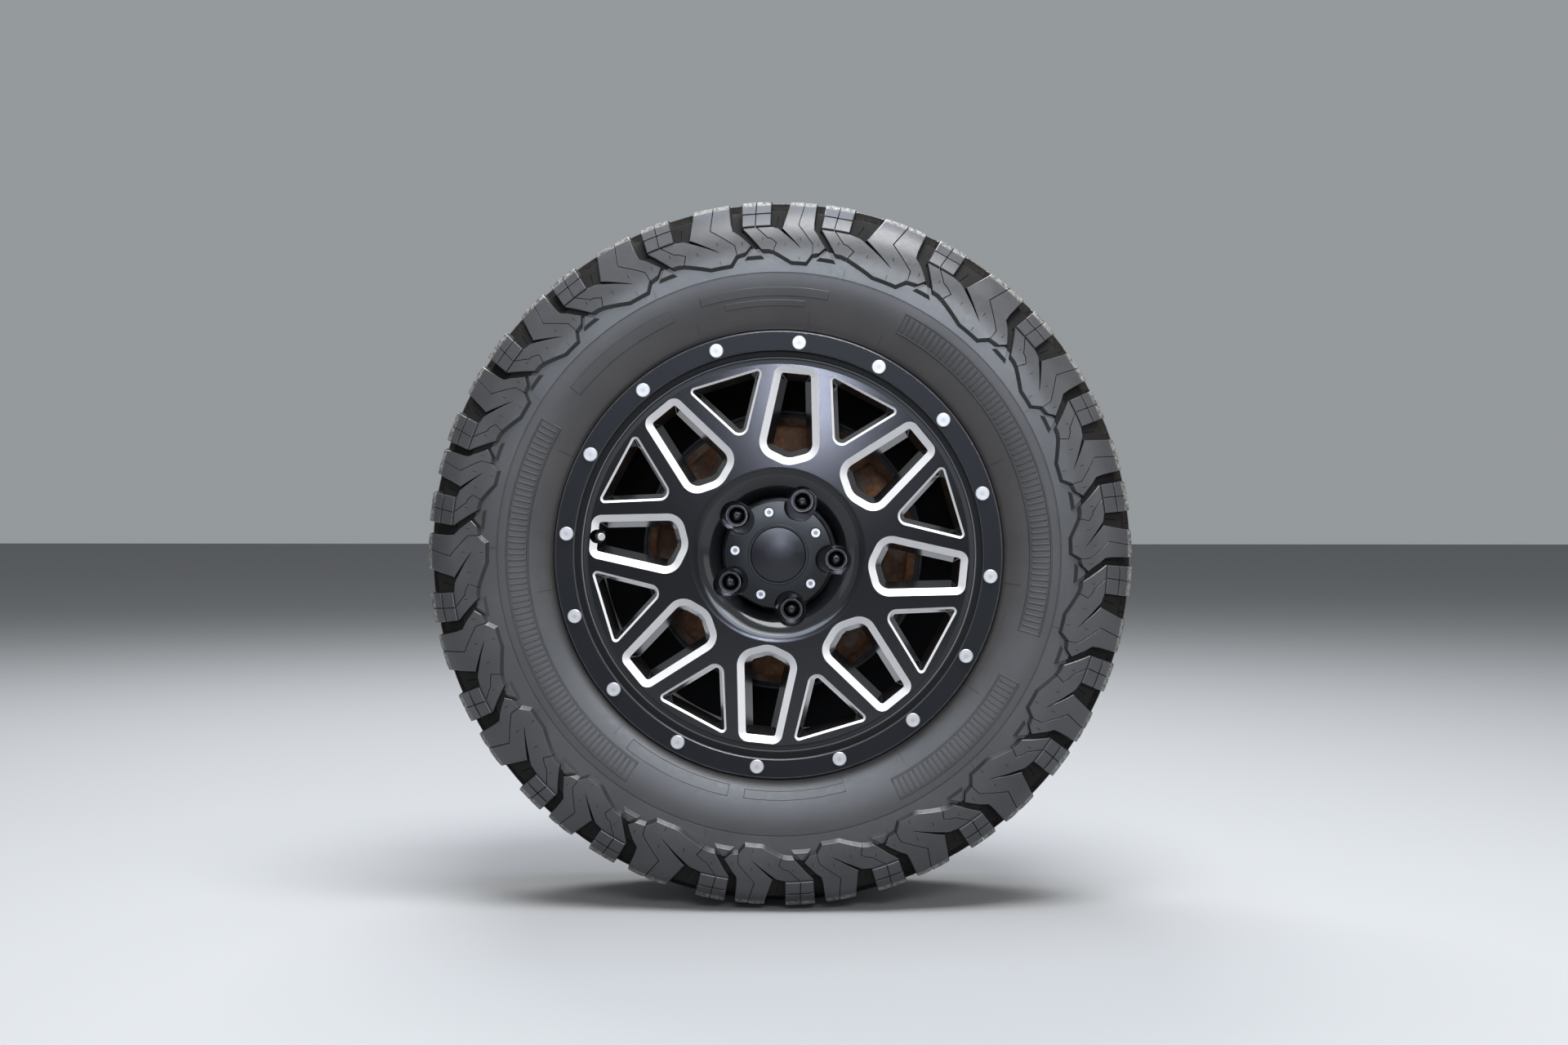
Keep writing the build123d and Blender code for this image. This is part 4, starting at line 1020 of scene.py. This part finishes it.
disc_lacquer = start_finish("disc_lacquer", (0.006, 0.0065, 0.0105), roughness=0.22, specular=0.45)
uneven_gloss(disc_lacquer, 0.006, 0.18, 0.26)
wear(nodes["cap_disc"], disc_lacquer)
print("finishes so far:", len(bpy.data.materials))

# %% [markdown]
# The lip ring's screws have turned heads: fine circles round each screw's own centre. All of them are one
# piece, so the pattern first folds the angle round the axle into one screw's share, and then measures the
# distance from that screw's centre. The same distance paints shade into the cap screws' key holes, and
# draws the worn rim of each nut.

# %% Measure from the nearest screw
wheel_phase = math.radians(-5.7)
ring_screw_circle, cap_screw_circle, nut_circle = 0.2367, 0.0484, 0.065
key_hole_radius = 0.0023
nut_rim, nut_rim_front, worn_metal = (0.0115, 0.0122), -0.1643, 0.4


def distance_to_nearest(finish, count, circle, phase):
    """Distance, in metres, from the nearest of the centres evenly spread on a circle about the axle."""
    turn = math_of(finish, "ARCTAN2", own_axis(finish, "Z"), own_axis(finish, "X"))
    share = 2 * math.pi / count
    folded = math_of(finish, "WRAP", math_of(finish, "SUBTRACT", turn, phase), share / 2, -share / 2)
    radius = axle_distance(finish)
    outward = math_of(finish, "SUBTRACT", product(finish, radius, math_of(finish, "COSINE", folded)), circle)
    across = product(finish, radius, math_of(finish, "SINE", folded))
    return math_of(finish, "SQRT", math_of(finish, "ADD", product(finish, outward, outward),
                                           product(finish, across, across)))


def turned_marks(finish, distance, spacing):
    """A wave of fine circles, from 0 to 1."""
    wave = math_of(finish, "SINE", product(finish, distance, 2 * math.pi / spacing))
    return math_of(finish, "MULTIPLY_ADD", wave, 0.5, 0.5)


print("screw circles:", ring_screw_circle, cap_screw_circle, nut_circle)

# %% Turned screw heads, cap screws and nuts
bright_screw = start_finish("bright_screw", (0.9, 0.9, 0.91), metallic=0.35, roughness=0.34)
head_distance = distance_to_nearest(bright_screw, 16, ring_screw_circle, wheel_phase)
circles = turned_marks(bright_screw, head_distance, 0.0009)
middle = between(bright_screw, head_distance, 0.0005, 0.0038, 0.6, 0.0)
layered(bright_screw, (0.46, 0.46, 0.47), (circles, (0.64, 0.64, 0.65)), (middle, (0.3, 0.3, 0.31)))
relief(bright_screw, circles, 0.00004, 0.6)
wear(nodes["ring_screws"], bright_screw)

steel_tone = (0.66, 0.66, 0.67)
cap_steel = start_finish("cap_steel", steel_tone, metallic=0.5, roughness=0.3)
uneven_gloss(cap_steel, 0.0015, 0.22, 0.4)
cap_distance = distance_to_nearest(cap_steel, 5, cap_screw_circle, wheel_phase + math.pi / 5)
# painted shade: each cap screw's key hole is painted darker
layered(cap_steel, steel_tone, (below(cap_steel, cap_distance, key_hole_radius), (0.26, 0.26, 0.27)))
for name in ("cap_screws", "valve_cap"):
    wear(nodes[name], cap_steel)

chrome_tone = (0.008, 0.008, 0.009)
chrome = start_finish("black_chrome", chrome_tone, roughness=0.12)
nut_distance = distance_to_nearest(chrome, 5, nut_circle, wheel_phase)
worn_rim = product(chrome, within(chrome, nut_distance, *nut_rim),
                   below(chrome, own_axis(chrome, "Y"), nut_rim_front))
layered(chrome, chrome_tone, (worn_rim, (0.27, 0.255, 0.23)))
into(chrome, "Metallic", product(chrome, worn_rim, worn_metal))
uneven_gloss(chrome, 0.002, 0.2, 0.3)
wear(nodes["lug_nuts"], chrome)

stem_rubber = start_finish("stem_rubber", (0.02, 0.02, 0.021), roughness=0.6)
relief(stem_rubber, speckle(stem_rubber, 0.001), 0.00005, 0.5)
for name in ("valve_stem", "adjuster_plug"):
    wear(nodes[name], stem_rubber)
print("small parts finished")

# %% [markdown]
# Behind the windows sits the brake drum. Its iron has rusted in patches: orange where it is fresh, dark
# brown where it is old, and grey where water has washed it. Two sizes of noise choose between the three
# colours.

# %% Rust, iron and steel


def rusty(name, fresh, old, washed, share_washed):
    """Rusted iron: cloudy patches of old and fresh rust, with grey where it is washed."""
    finish = start_finish(name, old, roughness=0.85)
    patches = between(finish, speckle(finish, 0.03, detail=8.0, roughness=0.7), 0.42, 0.6)
    grains = between(finish, speckle(finish, 0.006, detail=6.0), 0.35, 0.65)
    wash = between(finish, speckle(finish, 0.05, detail=5.0), 0.60 - share_washed, 0.66 - share_washed)
    layered(finish, old, (product(finish, patches, grains), fresh), (product(finish, wash, 0.75), washed))
    relief(finish, speckle(finish, 0.0025, detail=8.0, roughness=0.75), 0.0006, 0.6)
    return finish


drum_iron = rusty("rusty_iron", (0.58, 0.26, 0.09), (0.24, 0.12, 0.065), (0.34, 0.29, 0.24), 0.08)
bare_iron = rusty("bare_iron", (0.2, 0.1, 0.05), (0.13, 0.11, 0.1), (0.24, 0.22, 0.2), 0.16)
wear(nodes["brake_drum"], drum_iron)
for name in ("wheel_hub", "wheel_cylinder"):
    wear(nodes[name], bare_iron)

turned_steel = start_finish("turned_steel", (0.42, 0.42, 0.43), metallic=1.0, roughness=0.36)
stain = between(turned_steel, speckle(turned_steel, 0.03, detail=6.0), 0.45, 0.65)
layered(turned_steel, (0.46, 0.46, 0.47), (stain, (0.3, 0.26, 0.22)))
relief(turned_steel, turned_marks(turned_steel, axle_distance(turned_steel), 0.0007), 0.00002, 0.5)
for name in ("stub_axle", "wheel_studs", "bleed_screw", "shoe_pins"):
    wear(nodes[name], turned_steel)

black_steel = start_finish("black_steel", (0.03, 0.03, 0.03), roughness=0.55)
dirt = between(black_steel, speckle(black_steel, 0.04, detail=7.0), 0.5, 0.7)
layered(black_steel, (0.026, 0.026, 0.027), (dirt, (0.11, 0.095, 0.08)))
relief(black_steel, speckle(black_steel, 0.003, detail=5.0), 0.0002, 0.5)
wear(nodes["backing_plate"], black_steel)
print("nodes with a finish:", sum(1 for node in nodes.values() if node.data.materials))
